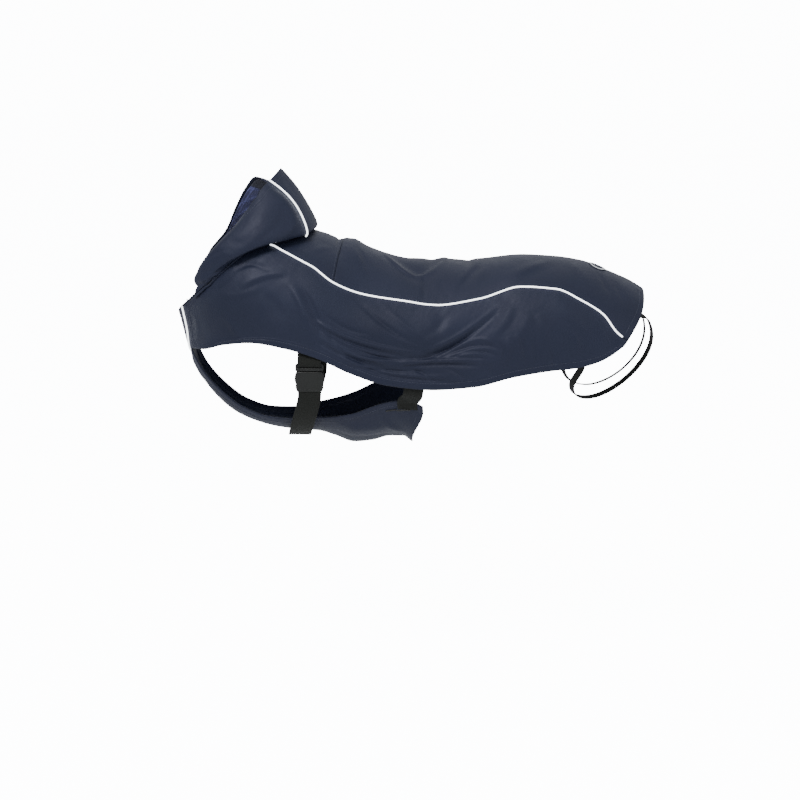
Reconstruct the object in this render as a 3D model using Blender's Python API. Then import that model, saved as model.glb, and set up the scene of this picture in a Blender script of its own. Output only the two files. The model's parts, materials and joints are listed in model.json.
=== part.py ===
"""Dog raincoat in its worn, hollow form: back, sides, chest and belly panel, hood, straps and buckles.

Metres, +Z up. +X points to the tail and -Y to the dog's left. The origin is on the
inner face of the back panel, on the centre plane at mid-back, where the dog carries it.
Tables are in millimetres. "Out" columns are distances from the centre plane, so that
one row serves both sides.

The shell is one surface. A section number u runs from the tail edge (0) to the
neckline (1), and w runs round the body from the left hem (-1) over the back (0) to
the right hem (1). Every panel is a stretch of that surface, thickened outwards.
"""

import math

import bpy
import numpy as np

MM = 0.001

# Cloth and trim.
CLOTH = 1.3
LINING = 1.0
SEAM_GAP = 0.3
CLEARANCE = 0.4
PIPING_RADIUS = 1.8
PIPING_LIFT = CLOTH + SEAM_GAP + PIPING_RADIUS
WEBBING = 1.4
GIRTH_WIDTH = 30.0
BELLY_STRAP_WIDTH = 26.0
ELASTIC_WIDTH = 9.0
STRAP_INSIDE = 2.5

# Where the sections' own points lie round the body, and where the yoke ends.
SHARES = (0.0, 0.22, 0.42, 0.70, 1.0)
SEAM = 0.42
YOKE_SECTION = "yoke"
CORNER_SECTION = "corner"

# One row for each body section, from the tail edge to the neckline.
BODY_COLUMNS = (
    "back_x", "back_z",
    "crown_x", "crown_out", "crown_z",
    "seam_x", "seam_out", "seam_z",
    "side_x", "side_out", "side_z",
    "hem_x", "hem_out", "hem_z",
)
BODY_SECTIONS = {
    "tail edge": (323, -42, 317, 52, -64, 295, 82, -98, 293, 83, -101, 291, 84, -104),
    "rump low": (304, -30, 301, 50, -50, 280, 82, -86, 277, 84, -101, 273, 86, -117),
    "rump": (277, -18, 270, 45, -32, 261, 79, -63, 261, 87, -96, 256, 89, -125),
    "croup": (242, -5, 238, 45, -19, 233, 74, -46, 232, 89, -88, 229, 91, -132),
    "hip": (207, 1, 205, 45, -13, 202, 69, -33, 201, 91, -80, 197, 94, -135),
    "loin rear": (162, 3, 160, 45, -10, 157, 66, -27, 155, 93, -82, 147, 97, -143),
    "loin front": (104, -2, 103, 45, -16, 103, 74, -43, 102, 98, -95, 96, 101, -155),
    "middle rear": (49, -3, 49, 45, -18, 48, 80, -52, 46, 102, -103, 44, 105, -158),
    "middle front": (0, 1, 0, 45, -14, 0, 79, -46, -5, 104, -99, -15, 107, -152),
    "ribs": (-44, 14, -45, 45, -2, -48, 79, -38, -55, 105, -90, -64, 108, -136),
    "yoke": (-76, 22, -80, 45, 9, -85, 78, -19, -96, 104, -78, -108, 107, -116),
    "shoulder a": (-89, 28, -99, 45, 17, -112, 75, -4, -132, 102, -69, -149, 104, -104),
    "shoulder b": (-98, 32, -113, 45, 22, -129, 72, 5, -162, 99, -67, -191, 97, -98),
    "shoulder c": (-105, 34, -124, 45, 25, -143, 69, 12, -193, 94, -65, -228, 82, -103),
    "chest": (-111, 36, -135, 43, 29, -155, 66, 18, -215, 88, -62, -257, 58, -113),
    "corner": (-116, 37, -142, 40, 31, -163, 63, 22, -230, 82, -56, -275, 33, -116),
    "chest seam": (-121, 37, -147, 37, 33, -171, 59, 24, -239, 74, -40, -279, 31, -89),
    "neck": (-127, 38, -151, 33, 34, -179, 54, 27, -243, 63, -21, -285, 29, -60),
}

# The largest folds, as seen from one side or from above: start, middle and end of
# the fold line, its width and how far it stands out (a trough is negative).
FOLD_COLUMNS = (
    "start_x", "start_v", "middle_x", "middle_v", "end_x", "end_v", "width", "height",
)
FOLD_SAMPLES = 25
FOLD_ENDS = 0.04
FOLD_TAPER = 0.7
# How far the shell faces the side, or up, where its folds start, and over how much
# more they grow to their full height.
SIDE_FOLD_FROM = 0.35
SIDE_FOLD_OVER = 0.5
BACK_FOLD_FROM = 0.45
BACK_FOLD_OVER = 0.4
LEFT_FOLDS = {
    "long sling": (-102, -68, 35, -112, 138, -46, 15, -4.5),
    "below sling": (-75, -118, 40, -128, 120, -100, 12, -3.0),
    "between slings": (-60, -100, 45, -122, 110, -92, 9, 2.0),
    "behind strap": (-143, -25, -124, -70, -121, -108, 9, 2.2),
}
RIGHT_FOLDS = {
    "long sling": (-92, -76, 20, -109, 120, -58, 16, -4.2),
    "below sling": (-50, -126, 60, -132, 128, -108, 12, -2.6),
    "between slings": (-70, -104, 30, -119, 100, -96, 9, 1.8),
    "behind strap": (-140, -30, -128, -72, -118, -106, 9, 2.0),
}
BACK_FOLDS = {
    "left of dip": (-18, -6, 12, -34, 38, -62, 12, -3.0),
    "right of dip": (60, -4, 40, -26, 22, -52, 11, -2.4),
    "yoke puff": (-58, -56, -62, 0, -58, 56, 13, 6.0),
    "rear dip": (92, -50, 86, 0, 92, 50, 14, -1.6),
}

# One row for each hood section, from the left front end to the ridge of the gusset.
# "neck_share" is where it is sewn to the neckline, then come the fold that rests over
# the shoulders, the face of the hood and its rim.
HOOD_COLUMNS = (
    "neck_share",
    "fold_x", "fold_out", "fold_z",
    "face_x", "face_out", "face_z",
    "rim_x", "rim_out", "rim_z",
)
HOOD_SECTIONS = {
    "front end": (0.85, -264, 52, -32, -267, 51, -26, -266, 48, -18),
    "front": (0.78, -254, 63, -19, -258, 62, -7, -253, 53, 4),
    "cheek": (0.68, -231, 75, 0, -239, 71, 17, -229, 56, 29),
    "side": (0.56, -202, 80, 16, -208, 74, 42, -206, 56, 57),
    "rear": (0.44, -171, 76, 28, -177, 67, 63, -187, 50, 83),
    "quarter": (0.31, -145, 62, 33, -147, 55, 69, -178, 41, 97),
    "seam": (0.19, -124, 46, 37, -125, 42, 60, -171, 32, 104),
    "ridge": (0.0, -113, 0, 42, -120, 0, 67, -158, 0, 118),
}
HOOD_LIFT = 2 * CLOTH + 0.5
HOOD_PIPING_LIFT = 0.2
FLOOR_RISE = 2.0
HOOD_SHARES = (0.0, 0.16, 0.34, 0.66, 1.0)
HOOD_STATIONS = (0.0, 0.07, 0.16, 0.25, 0.34, 0.43, 0.54, 0.66, 0.80, 0.93, 1.0)
# How much farther forward and lower the right rim lies than the left one.
RIGHT_RIM_COLUMNS = ("forward", "down")
RIGHT_RIM = {
    "front end": (0, 0),
    "front": (3, 0),
    "cheek": (6, 0),
    "side": (17, -2),
    "rear": (21, -5),
    "quarter": (16, -6),
    "seam": (4, 9),
}

# Chest and belly panel. Beside the chest seams its edges follow the side panels, so
# a row there gives only its centre line, by its share of the way down the seam.
CHEST_COLUMNS = ("down_share", "centre_x", "centre_z")
CHEST_SECTIONS = {
    "throat": (0.0, -294, -67),
    "flare": (0.16, -291.5, -76),
    "breast": (0.45, -287, -92),
    "low breast": (0.7, -284, -106),
    "seam end": (1.0, -279.5, -121),
}
BELLY_COLUMNS = ("centre_x", "centre_z", "edge_x", "edge_out", "edge_z")
BELLY_SECTIONS = {
    "band": (-275, -140, -268, 30, -134),
    "band low": (-264, -160, -257, 29, -152),
    "between legs": (-245, -185, -236, 29, -175),
    "keel": (-216, -209, -208, 30, -196),
    "keel rear": (-179, -223, -173, 34, -208),
    "girth": (-139, -229, -136, 42, -210),
    "spread": (-111, -231, -109, 52, -205),
    "belly front": (-87, -238, -83, 64, -201),
    "belly low": (-62, -247, -60, 74, -195),
    "belly middle": (-38, -245, -37, 80, -185),
    "belly rise": (-14, -239, -13, 84, -177),
    "belly rear": (4, -239, 9, 86, -174),
    "rear edge": (17, -247, 30, 85, -184),
}
MIDWAY_OUT = 0.6
MIDWAY_RISE = 0.26

# Girth strap: the buckle's middle, its lean, and the run under the chest.
BUCKLE_X = -117.0
BUCKLE_OUT = 100.0
BUCKLE_Z = -146.0
BUCKLE_LEAN = math.radians(7.0)
UPPER_STRAP_WS = (0.82, 0.90, 0.985)
UPPER_STRAP_INSIDE = 4.0
RUN_COLUMNS = ("run_x", "run_out", "run_z")
UNDER_CHEST = {
    "below buckle": (-118, 100.0, -173),
    "ribs": (-121, 94.5, -186),
    "breast side": (-126, 82, -203.5),
    "turn": (-130.5, 64, -219.5),
    "turn low": (-133, 44, -229.5),
    "under": (-134.5, 21, -235),
    "centre": (-135, 0, -236.5),
}
RIB_CAGE_Z = -120.0
LOWER_STRAP_STEPS = 22

BUCKLE_LOOK = "buckle plastic"

# The buckle's own sizes, from its middle: across, outward and up.
SOCKET_SIZE = (38.0, 9.0, 19.0)
SOCKET_RAISE = 3.0
SOCKET_WALL = 1.8
WINDOW_HEIGHT = 7.0
WINDOW_RAISE = 4.0
SOCKET_ROUNDING = 1.6
FRAME_ROUNDING = 0.8
PLUG_ROUNDING = 1.0
CUT_OVERLAP = 2.0
PLUG_WIDTH = 36.0
PLUG_DEPTH = 5.6
SHOULDER_HEIGHT = 3.6
BAR_DEPTH = 4.0
BAR_HEIGHT = 2.6
SLOT_HEIGHT = 4.0
SLOT_WIDTH = GIRTH_WIDTH + 1.5
BAR_OVERLAP = 1.0
PRONG_SIZE = (4.6, 4.2, 14.0)
PRONG_OUT = 12.0
BARB_SIZE = (5.0, 4.2, 5.0)
BARB_OUT = 15.0
BARB_UP = 4.2
GUIDE_SIZE = (5.0, 4.2, 12.0)
PRONG_ROOT = 1.5

# How the webbing goes round a bar: along the strap from the bar, the share of the
# turn's radius outwards, and the way its face looks, in degrees from outward.
LOOP_COLUMNS = ("along", "share", "angle")
LOOP_ROUND_BAR = {
    "front": (9.0, 1.0, 0),
    "front at bar": (2.2, 1.0, 0),
    "over": (-0.6, 0.82, 40),
    "end of bar": (-2.0, 0.0, 90),
    "under": (-0.6, -0.82, 140),
    "back at bar": (2.2, -1.0, 180),
    "back": (9.0, -0.9, 180),
}
LOOP_RADIUS = BAR_DEPTH / 2 + CLEARANCE + WEBBING / 2 + 0.9
PLUG_LOW = SOCKET_RAISE + SOCKET_SIZE[2] / 2 + CLEARANCE

# Belly strap: from inside the hem to the belly panel's rear corner.
BELLY_STRAP_HEM_X = 18.0
BELLY_STRAP_RUN = {
    "below hem": (17, 101.5, -166),
    "midway": (14, 96, -174),
}
BELLY_STRAP_FACING = (0.0, 0.8, -0.6)
BELLY_STRAP_LAND = 0.925
BELLY_STRAP_LIFT = 1.6
BELLY_STRAP_ACROSS = (0.97, 0.88, 0.79)
HEM_WS = (0.90, 0.985)

# Leg loop: from the tail edge, behind the thigh, and forward to the hem.
LEG_LOOP_CENTRE = (275, 46, -122)
LEG_LOOP_TAIL_W = 0.25
LEG_LOOP_TAIL_US = (0.05, 0.01)
LEG_LOOP_HEM_X = 236.0
LEG_LOOP_STEPS = 26
LEG_LOOP_RUN = {
    "leaves tail edge": (322, 47, -72),
    "behind tail": (330, 41, -86),
    "behind thigh": (331, 33, -110),
    "low rear": (315, 28, -142),
    "lowest": (284, 31, -169),
    "low front": (250, 42, -180),
    "turns up": (230, 56, -173),
    "before thigh": (225, 70, -157),
}

# The plain round mark on the rump.
MARK_X = 261.0
MARK_W = -0.031
MARK_RADIUS = 12.0
MARK_THICKNESS = 0.8
MARK_SIDES = 20
MARK_STEPS = (0.004, 0.01)

# Steps of the walls.
SIDE_STEPS = 10
BACK_STEPS = 12
SECTION_STEPS = 2
HOOD_SIDE_STEPS = 11
GUSSET_STEPS = 6
UNDER_STEPS = 2
UNDER_LINES = 11
CORD_RESOLUTION = 1


def columns_of(table, columns, *names):
    """The named columns of a table, (row, name)."""
    rows = np.array(list(table.values()), float)
    return rows[:, [columns.index(name) for name in names]]


def places_of(table, columns, place):
    """A named place of each row as (row, xyz); on the centre plane it has no "out"."""
    result = np.zeros((len(table), 3))
    for axis, part in enumerate(("x", "out", "z")):
        if f"{place}_{part}" in columns:
            result[:, axis] = columns_of(table, columns, f"{place}_{part}")[:, 0]
    return result


def tight_curve(knots, rows, at):
    """Smooth curve through the rows that never swings past them (harmonic slopes)."""
    knots = np.asarray(knots, float)
    rows = np.asarray(rows, float)
    at = np.asarray(at, float)
    step = np.diff(knots)[:, None]
    rise = np.diff(rows, axis=0) / step
    product = rise[:-1] * rise[1:]
    total = np.where(product > 0, rise[:-1] + rise[1:], 1.0)
    slope = np.concatenate([rise[:1], np.where(product > 0, 2 * product / total, 0.0), rise[-1:]])
    span = np.clip(np.searchsorted(knots, at, side="right") - 1, 0, len(knots) - 2)
    width = step[span]
    s = (at - knots[span])[:, None] / width
    return (
        (1 + 2 * s) * (1 - s) ** 2 * rows[span]
        + s * (1 - s) ** 2 * width * slope[span]
        + s * s * (3 - 2 * s) * rows[span + 1]
        + s * s * (s - 1) * width * slope[span + 1]
    )


def round_curve(knots, rows, at):
    """Natural cubic spline through the rows."""
    count = len(knots)
    step = np.diff(knots)
    rise = np.diff(rows, axis=0) / step[:, None]
    system = np.eye(count)
    bend = np.zeros_like(rows)
    for k in range(1, count - 1):
        system[k, k - 1 : k + 2] = step[k - 1], 2 * (step[k - 1] + step[k]), step[k]
        bend[k] = 6 * (rise[k] - rise[k - 1])
    bend = np.linalg.solve(system, bend)
    span = np.clip(np.searchsorted(knots, at, side="right") - 1, 0, count - 2)
    width = step[span][:, None]
    b = (at - knots[span])[:, None] / width
    a = 1 - b
    return (
        a * rows[span]
        + b * rows[span + 1]
        + ((a**3 - a) * bend[span] + (b**3 - b) * bend[span + 1]) * width**2 / 6
    )


def lengths_along(points):
    """Running length of a chain of points, or of the mean of many chains side by side."""
    steps = np.linalg.norm(np.diff(points, axis=0), axis=-1)
    if steps.ndim > 1:
        steps = steps.mean(axis=1)
    return np.concatenate([[0.0], np.cumsum(steps)])


def unit(vectors):
    return vectors / np.linalg.norm(vectors, axis=-1, keepdims=True)


def mirrored(points):
    return points * np.array([1.0, -1.0, 1.0])


def smooth_step(value):
    share = np.clip(value, 0.0, 1.0)
    return share * share * (3 - 2 * share)


def section_points():
    """Control points of the body sections, (section, point, xyz), on the right side."""
    names = ("back", "crown", "seam", "side", "hem")
    return np.stack([places_of(BODY_SECTIONS, BODY_COLUMNS, name) for name in names], axis=1)


CONTROLS = section_points()
SECTION_U = lengths_along(CONTROLS) / lengths_along(CONTROLS)[-1]


def section_u(name):
    return SECTION_U[list(BODY_SECTIONS).index(name)]


def plain_surface(us, ws):
    """Body surface without folds, (len(us), len(ws), 3)."""
    flat = CONTROLS.reshape(len(CONTROLS), -1)
    rows = tight_curve(SECTION_U, flat, us).reshape(len(us), len(SHARES), 3)
    result = np.empty((len(us), len(ws), 3))
    for i, row in enumerate(rows):
        ring = np.concatenate([mirrored(row[:0:-1]), row])
        run = lengths_along(ring)
        shares = np.concatenate([-np.array(SHARES[:0:-1]), SHARES])
        result[i] = round_curve(run, ring, np.interp(ws, shares, run))
    return result


def fold_heights(places, table):
    """Height of a table's folds at places given as (..., 2) in the folds' own view."""
    total = np.zeros(places.shape[:-1])
    t = np.linspace(0, 1, FOLD_SAMPLES)[:, None]
    lines = columns_of(table, FOLD_COLUMNS, *FOLD_COLUMNS[:6]).reshape(-1, 3, 2)
    sizes = columns_of(table, FOLD_COLUMNS, "width", "height")
    for (start, middle, end), (width, height) in zip(lines, sizes):
        handle = 2 * middle - (start + end) / 2
        line = (1 - t) ** 2 * start + 2 * t * (1 - t) * handle + t * t * end
        away = np.linalg.norm(places[..., None, :] - line, axis=-1)
        nearest = away.argmin(axis=-1)
        inside = np.clip(t[nearest, 0], FOLD_ENDS, 1 - FOLD_ENDS)
        taper = np.sin(math.pi * inside) ** FOLD_TAPER
        total += height * taper * np.exp(-((away.min(axis=-1) / width) ** 2))
    return total


def normals_of(grid):
    """Outward unit normals of a (u, w) grid."""
    along = np.gradient(grid, axis=0)
    around = np.gradient(grid, axis=1)
    return unit(np.cross(around, along))


def body_surface(us, ws):
    """Inner face of the worn shell, with its folds."""
    plain = plain_surface(us, ws)
    normal = normals_of(plain)
    facing_side = smooth_step((np.abs(normal[..., 1]) - SIDE_FOLD_FROM) / SIDE_FOLD_OVER)
    facing_up = smooth_step((normal[..., 2] - BACK_FOLD_FROM) / BACK_FOLD_OVER)
    height = facing_up * fold_heights(plain[..., :2], BACK_FOLDS)
    left = plain[..., 1] < 0
    for is_here, table in ((left, LEFT_FOLDS), (~left, RIGHT_FOLDS)):
        height += is_here * facing_side * fold_heights(plain[..., ::2], table)
    return plain + normal * height[..., None]


def bracket(value, low, high, step=0.004):
    """Three close stations within the limits, and which of them is the value."""
    stations = min(max(value - step, low), high - 2 * step) + step * np.arange(3)
    which = int(np.abs(stations - value).argmin())
    stations[which] = value
    return stations, which


def body_spot(u, w):
    """One point of the shell's inner face and its outward normal."""
    us, i = bracket(u, 0.0, 1.0)
    ws, j = bracket(w, -1.0, 1.0)
    patch = body_surface(us, ws)
    return patch[i, j], normals_of(patch)[i, j]


def u_at(x, w):
    """Section number at which the line w round the body passes x."""
    us = np.linspace(0, 1, 120)
    line = plain_surface(us, np.array([w]))[:, 0, 0]
    return np.interp(-x, -line, us)


def inside_spot(u, w, depth=STRAP_INSIDE):
    """Centre of a strap's end that lies inside the shell there, and its facing."""
    spot, normal = body_spot(u, w)
    return spot - normal * (WEBBING / 2 + depth), normal


def material(name, colour, roughness):
    """A plain surface in the piece's own colour."""
    made = bpy.data.materials.new(name)
    made.use_nodes = True
    shader = made.node_tree.nodes["Principled BSDF"]
    shader.inputs["Base Color"].default_value = (*colour, 1.0)
    shader.inputs["Roughness"].default_value = roughness
    shader.inputs["Metallic"].default_value = 0.0
    made.diffuse_color = (*colour, 1.0)
    return made


def add_mesh(name, points, faces, look, sharp_angle=40.0):
    """A mesh object from points in millimetres."""
    mesh = bpy.data.meshes.new(name)
    mesh.from_pydata((np.asarray(points) * MM).tolist(), [], faces)
    mesh.update()
    mesh.shade_smooth()
    mesh.set_sharp_from_angle(angle=math.radians(sharp_angle))
    mesh.materials.append(look)
    piece = bpy.data.objects.new(name, mesh)
    bpy.context.scene.collection.objects.link(piece)
    return piece


def edges_inset(grid, gap):
    """The grid with its border pulled in by the gap, along the grid itself."""
    result = grid.copy()
    for axis in (0, 1):
        lines = np.moveaxis(grid, axis, 0)
        moved = np.moveaxis(result, axis, 0)
        moved[0] += unit(lines[1] - lines[0]) * gap
        moved[-1] += unit(lines[-2] - lines[-1]) * gap
    return result


def wall(name, grid, normals, inner, outer, look):
    """A closed cloth wall between two offsets of a grid whose first axis is u."""
    border = edges_inset(grid, SEAM_GAP / 2)
    low = border + normals * inner
    high = border + normals * outer
    rows, columns = grid.shape[:2]
    points = np.concatenate([high.reshape(-1, 3), low.reshape(-1, 3)])
    index = np.arange(rows * columns).reshape(rows, columns)
    under = index + rows * columns
    faces = []
    for i in range(rows - 1):
        for j in range(columns - 1):
            a, b, c, d = index[i, j], index[i, j + 1], index[i + 1, j + 1], index[i + 1, j]
            faces.append((a, b, c, d))
            a, b, c, d = under[i, j], under[i, j + 1], under[i + 1, j + 1], under[i + 1, j]
            faces.append((a, d, c, b))
    ring = [*index[0, :-1], *index[:-1, -1], *index[-1, :0:-1], *index[:0:-1, 0]]
    for here, there in zip(ring, ring[1:] + ring[:1]):
        faces.append((there, here, here + rows * columns, there + rows * columns))
    return add_mesh(name, points, [tuple(int(k) for k in face) for face in faces], look)


def cord(name, centres, radius, look):
    """A round cord along its centres."""
    curve = bpy.data.curves.new(name, "CURVE")
    curve.dimensions = "3D"
    curve.bevel_depth = radius * MM
    curve.bevel_resolution = CORD_RESOLUTION
    curve.use_fill_caps = True
    spline = curve.splines.new("POLY")
    spline.points.add(len(centres) - 1)
    for point, centre in zip(spline.points, np.asarray(centres) * MM):
        point.co = (*centre, 1.0)
    curve.materials.append(look)
    piece = bpy.data.objects.new(name, curve)
    bpy.context.scene.collection.objects.link(piece)
    return piece


def ribbon(name, centres, facing, width, look):
    """A flat strap along its centres; its face looks along the facing vectors."""
    centres = np.asarray(centres, float)
    along = unit(np.gradient(centres, axis=0))
    across = unit(np.cross(along, facing))
    face = np.cross(across, along)
    rings = []
    for a, f in ((-1, -1), (1, -1), (1, 1), (-1, 1)):
        rings.append(centres + across * (a * width / 2) + face * (f * WEBBING / 2))
    points = np.stack(rings, axis=1).reshape(-1, 3)
    faces = [(0, 3, 2, 1)]
    for i in range(len(centres) - 1):
        for j in range(4):
            k = (j + 1) % 4
            faces.append((4 * i + j, 4 * i + k, 4 * i + 4 + k, 4 * i + 4 + j))
    last = 4 * (len(centres) - 1)
    faces.append((last, last + 1, last + 2, last + 3))
    # With this facing, the rings run so that the faces above look inwards.
    return add_mesh(name, points, [face[::-1] for face in faces], look)


def body_grid():
    """The shell's stations and its whole grid, left hem to right hem."""
    stations = [0.0]
    for start, end in zip(SECTION_U[:-1], SECTION_U[1:]):
        stations.extend(np.linspace(start, end, SECTION_STEPS + 1)[1:])
    left = np.linspace(-1, -SEAM, SIDE_STEPS + 1)
    back = np.linspace(-SEAM, SEAM, BACK_STEPS + 1)
    ws = np.concatenate([left, back[1:-1], -left[::-1]])
    return np.array(stations), ws


def make_body(cloth, piping):
    """Back, yoke, both side panels and the piping on their seams."""
    us, ws = body_grid()
    grid = body_surface(us, ws)
    normals = normals_of(grid)
    yoke = int(np.argmin(np.abs(us - section_u(YOKE_SECTION))))
    left, right = SIDE_STEPS, SIDE_STEPS + BACK_STEPS
    for name, rows, columns in (
        ("back_panel", slice(0, yoke + 1), slice(left, right + 1)),
        ("back_yoke", slice(yoke, None), slice(left, right + 1)),
        ("side_panel_left", slice(None), slice(0, left + 1)),
        ("side_panel_right", slice(None), slice(right, None)),
    ):
        wall(name, grid[rows, columns], normals[rows, columns], 0.0, CLOTH, cloth)
    for side, column in (("left", left), ("right", right)):
        centres = grid[:, column] + normals[:, column] * PIPING_LIFT
        cord(f"body_piping_{side}", centres[1:-2], PIPING_RADIUS, piping)
    return us, grid, normals


def hood_controls():
    """Control points of the hood, (section, point, xyz), left front end to right front end."""
    names = ("fold", "face", "rim")
    right = np.stack([places_of(HOOD_SECTIONS, HOOD_COLUMNS, name) for name in names], axis=1)
    left = mirrored(right)
    right = right[:-1]
    right[:, 2, ::2] -= columns_of(RIGHT_RIM, RIGHT_RIM_COLUMNS, "forward", "down")
    face = np.concatenate([left, right[::-1]])
    share = columns_of(HOOD_SECTIONS, HOOD_COLUMNS, "neck_share")[:, 0]
    shares = np.concatenate([-share, share[-2::-1]])
    controls = np.empty((len(face), 5, 3))
    for k, w in enumerate(shares):
        edge, normal = body_spot(1.0, w)
        controls[k, 0] = edge + normal * HOOD_LIFT
        controls[k, 1] = (controls[k, 0] + face[k, 0]) / 2 + np.array([0, 0, FLOOR_RISE])
        controls[k, 2:] = face[k]
    return controls


def hood_surface(ss, ts):
    """Middle face of the hood: s counts its sections, t runs from the neckline to the rim."""
    controls = hood_controls()
    flat = controls.reshape(len(controls), -1)
    rows = tight_curve(np.arange(len(controls)), flat, ss).reshape(len(ss), -1, 3)
    result = np.empty((len(ss), len(ts), 3))
    for i, row in enumerate(rows):
        run = lengths_along(row)
        result[i] = round_curve(run, row, np.interp(ts, HOOD_SHARES, run))
    return result


def make_hood(cloth, lining, piping):
    """Two hood sides, the gusset between them, the lining, and piping on the seams."""
    seam = list(HOOD_SECTIONS).index("seam")
    ridge = seam + 1
    last = 2 * ridge
    ss = np.concatenate(
        [
            np.linspace(0, seam, HOOD_SIDE_STEPS + 1),
            np.linspace(seam, last - seam, GUSSET_STEPS + 1)[1:],
            np.linspace(last - seam, last, HOOD_SIDE_STEPS + 1)[1:],
        ]
    )
    ts = np.array(HOOD_STATIONS)
    grid = hood_surface(ss, ts)
    # The hood is a cup round the neck, so its outer side is the other way about.
    normals = -normals_of(grid)
    first = HOOD_SIDE_STEPS
    second = first + GUSSET_STEPS
    for name, rows in (
        ("hood_side_left", slice(0, first + 1)),
        ("hood_gusset", slice(first, second + 1)),
        ("hood_side_right", slice(second, None)),
    ):
        stretch = grid[rows][:, ::-1]
        wall(name, stretch, normals[rows][:, ::-1], 0.0, CLOTH, cloth)
    within = slice(-2, 0, -1)
    inner, outer = -CLEARANCE - LINING, -CLEARANCE
    wall("hood_lining", grid[:, within], normals[:, within], inner, outer, lining)
    on_face = ts >= HOOD_SHARES[2]
    for side, row in (("left", first), ("right", second)):
        centres = grid[row, on_face] + normals[row, on_face] * (PIPING_LIFT + HOOD_PIPING_LIFT)
        cord(f"hood_piping_{side}", centres, PIPING_RADIUS, piping)


def under_controls(us, grid):
    """Centre, midway and edge points of the chest and belly panel, throat to rear edge."""
    corner = int(np.argmin(np.abs(us - section_u(CORNER_SECTION))))
    seam = grid[corner:, -1][::-1]
    down = lengths_along(seam) / lengths_along(seam)[-1]
    share = columns_of(CHEST_SECTIONS, CHEST_COLUMNS, "down_share")[:, 0]
    centre = tight_curve(share, places_of(CHEST_SECTIONS, CHEST_COLUMNS, "centre"), down)
    rows = np.zeros((len(seam) + len(BELLY_SECTIONS), 3, 3))
    rows[: len(seam), 0] = centre
    rows[: len(seam), 2] = seam
    rows[len(seam) :, 0] = places_of(BELLY_SECTIONS, BELLY_COLUMNS, "centre")
    rows[len(seam) :, 2] = places_of(BELLY_SECTIONS, BELLY_COLUMNS, "edge")
    rows[:, 1] = rows[:, 0] + MIDWAY_RISE * (rows[:, 2] - rows[:, 0])
    rows[:, 1, 1] = MIDWAY_OUT * rows[:, 2, 1]
    return rows, len(seam)


def under_surface(us, grid, steps, across):
    """Inner face of the chest and belly panel, and how many rows the chest seam has."""
    rows, seam_rows = under_controls(us, grid)
    knots = lengths_along(rows)
    at = list(knots[:seam_rows])
    for start, end in zip(knots[seam_rows - 1 : -1], knots[seam_rows:]):
        at.extend(np.linspace(start, end, steps + 1)[1:])
    flat = rows.reshape(len(rows), -1)
    sections = tight_curve(knots, flat, np.array(at)).reshape(len(at), 3, 3)
    result = np.empty((len(at), len(across), 3))
    for i, (centre, midway, edge) in enumerate(sections):
        ring = np.array([mirrored(edge), mirrored(midway), centre, midway, edge])
        run = lengths_along(ring)
        result[i] = round_curve(run, ring, (np.asarray(across) + 1) / 2 * run[-1])
    return result, seam_rows


def make_under_panel(us, grid, body_normals, cloth, piping):
    """The panel from the throat to the belly, and the piping on the two chest seams."""
    across = np.linspace(-1, 1, UNDER_LINES)
    under, seam_rows = under_surface(us, grid, UNDER_STEPS, across)
    normals = normals_of(under)
    wall("chest_belly_panel", under, normals, 0.0, CLOTH, cloth)
    for side, edge in (("left", 0), ("right", -1)):
        outward = body_normals[::-1][:seam_rows, edge] + normals[:seam_rows, edge]
        centres = grid[::-1][:seam_rows, edge] + unit(outward) * PIPING_LIFT
        cord(f"chest_piping_{side}", centres, PIPING_RADIUS, piping)
    return under, normals


def box(name, size, centre, bevel=0.0):
    """A box, with rounded edges where a bevel is given."""
    signs = [(x, y, z) for x in (-1, 1) for y in (-1, 1) for z in (-1, 1)]
    points = np.array(signs) * np.array(size) / 2 + np.array(centre)
    faces = [(0, 1, 3, 2), (4, 6, 7, 5), (0, 4, 5, 1), (2, 3, 7, 6), (0, 2, 6, 4), (1, 5, 7, 3)]
    made = add_mesh(name, points, faces, bpy.data.materials[BUCKLE_LOOK], 30.0)
    if bevel:
        rounding = made.modifiers.new("rounding", "BEVEL")
        rounding.width = bevel * MM
        rounding.segments = 2
        rounding.limit_method = "ANGLE"
    return made


def combined(body, tools):
    """The body's mesh after its Boolean tools, each ("UNION" or "DIFFERENCE", object)."""
    for k, (operation, tool) in enumerate(tools):
        step = body.modifiers.new(f"step {k}", "BOOLEAN")
        step.operation = operation
        step.object = tool
    bpy.context.view_layer.update()
    graph = bpy.context.evaluated_depsgraph_get()
    mesh = bpy.data.meshes.new_from_object(body.evaluated_get(graph))
    mesh.name = body.name
    mesh.shade_smooth()
    mesh.set_sharp_from_angle(angle=math.radians(30.0))
    for made in [body, *(tool for _, tool in tools)]:
        bpy.data.objects.remove(made)
    return mesh


def socket_mesh():
    """Buckle socket: a pocket open at the top, side windows, and a bar for the webbing."""
    width, depth, height = SOCKET_SIZE
    inside = depth - 2 * SOCKET_WALL
    low = SOCKET_RAISE - height / 2
    tail = BAR_HEIGHT + SLOT_HEIGHT + BAR_OVERLAP
    shell = box("buckle_socket", SOCKET_SIZE, (0, 0, SOCKET_RAISE), SOCKET_ROUNDING)
    frame_z = low + BAR_OVERLAP - tail / 2
    frame = box("frame", (PLUG_WIDTH, BAR_DEPTH, tail), (0, 0, frame_z), FRAME_ROUNDING)
    pocket = box("pocket", (width - 4 * SOCKET_WALL, inside, height), (0, 0, 2 * SOCKET_RAISE))
    through = width + 2 * CUT_OVERLAP
    windows = box("windows", (through, inside, WINDOW_HEIGHT), (0, 0, WINDOW_RAISE))
    slot = box("slot", (SLOT_WIDTH, depth, SLOT_HEIGHT), (0, 0, low - SLOT_HEIGHT / 2))
    return combined(
        shell,
        [("UNION", frame), ("DIFFERENCE", pocket), ("DIFFERENCE", windows), ("DIFFERENCE", slot)],
    )


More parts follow.
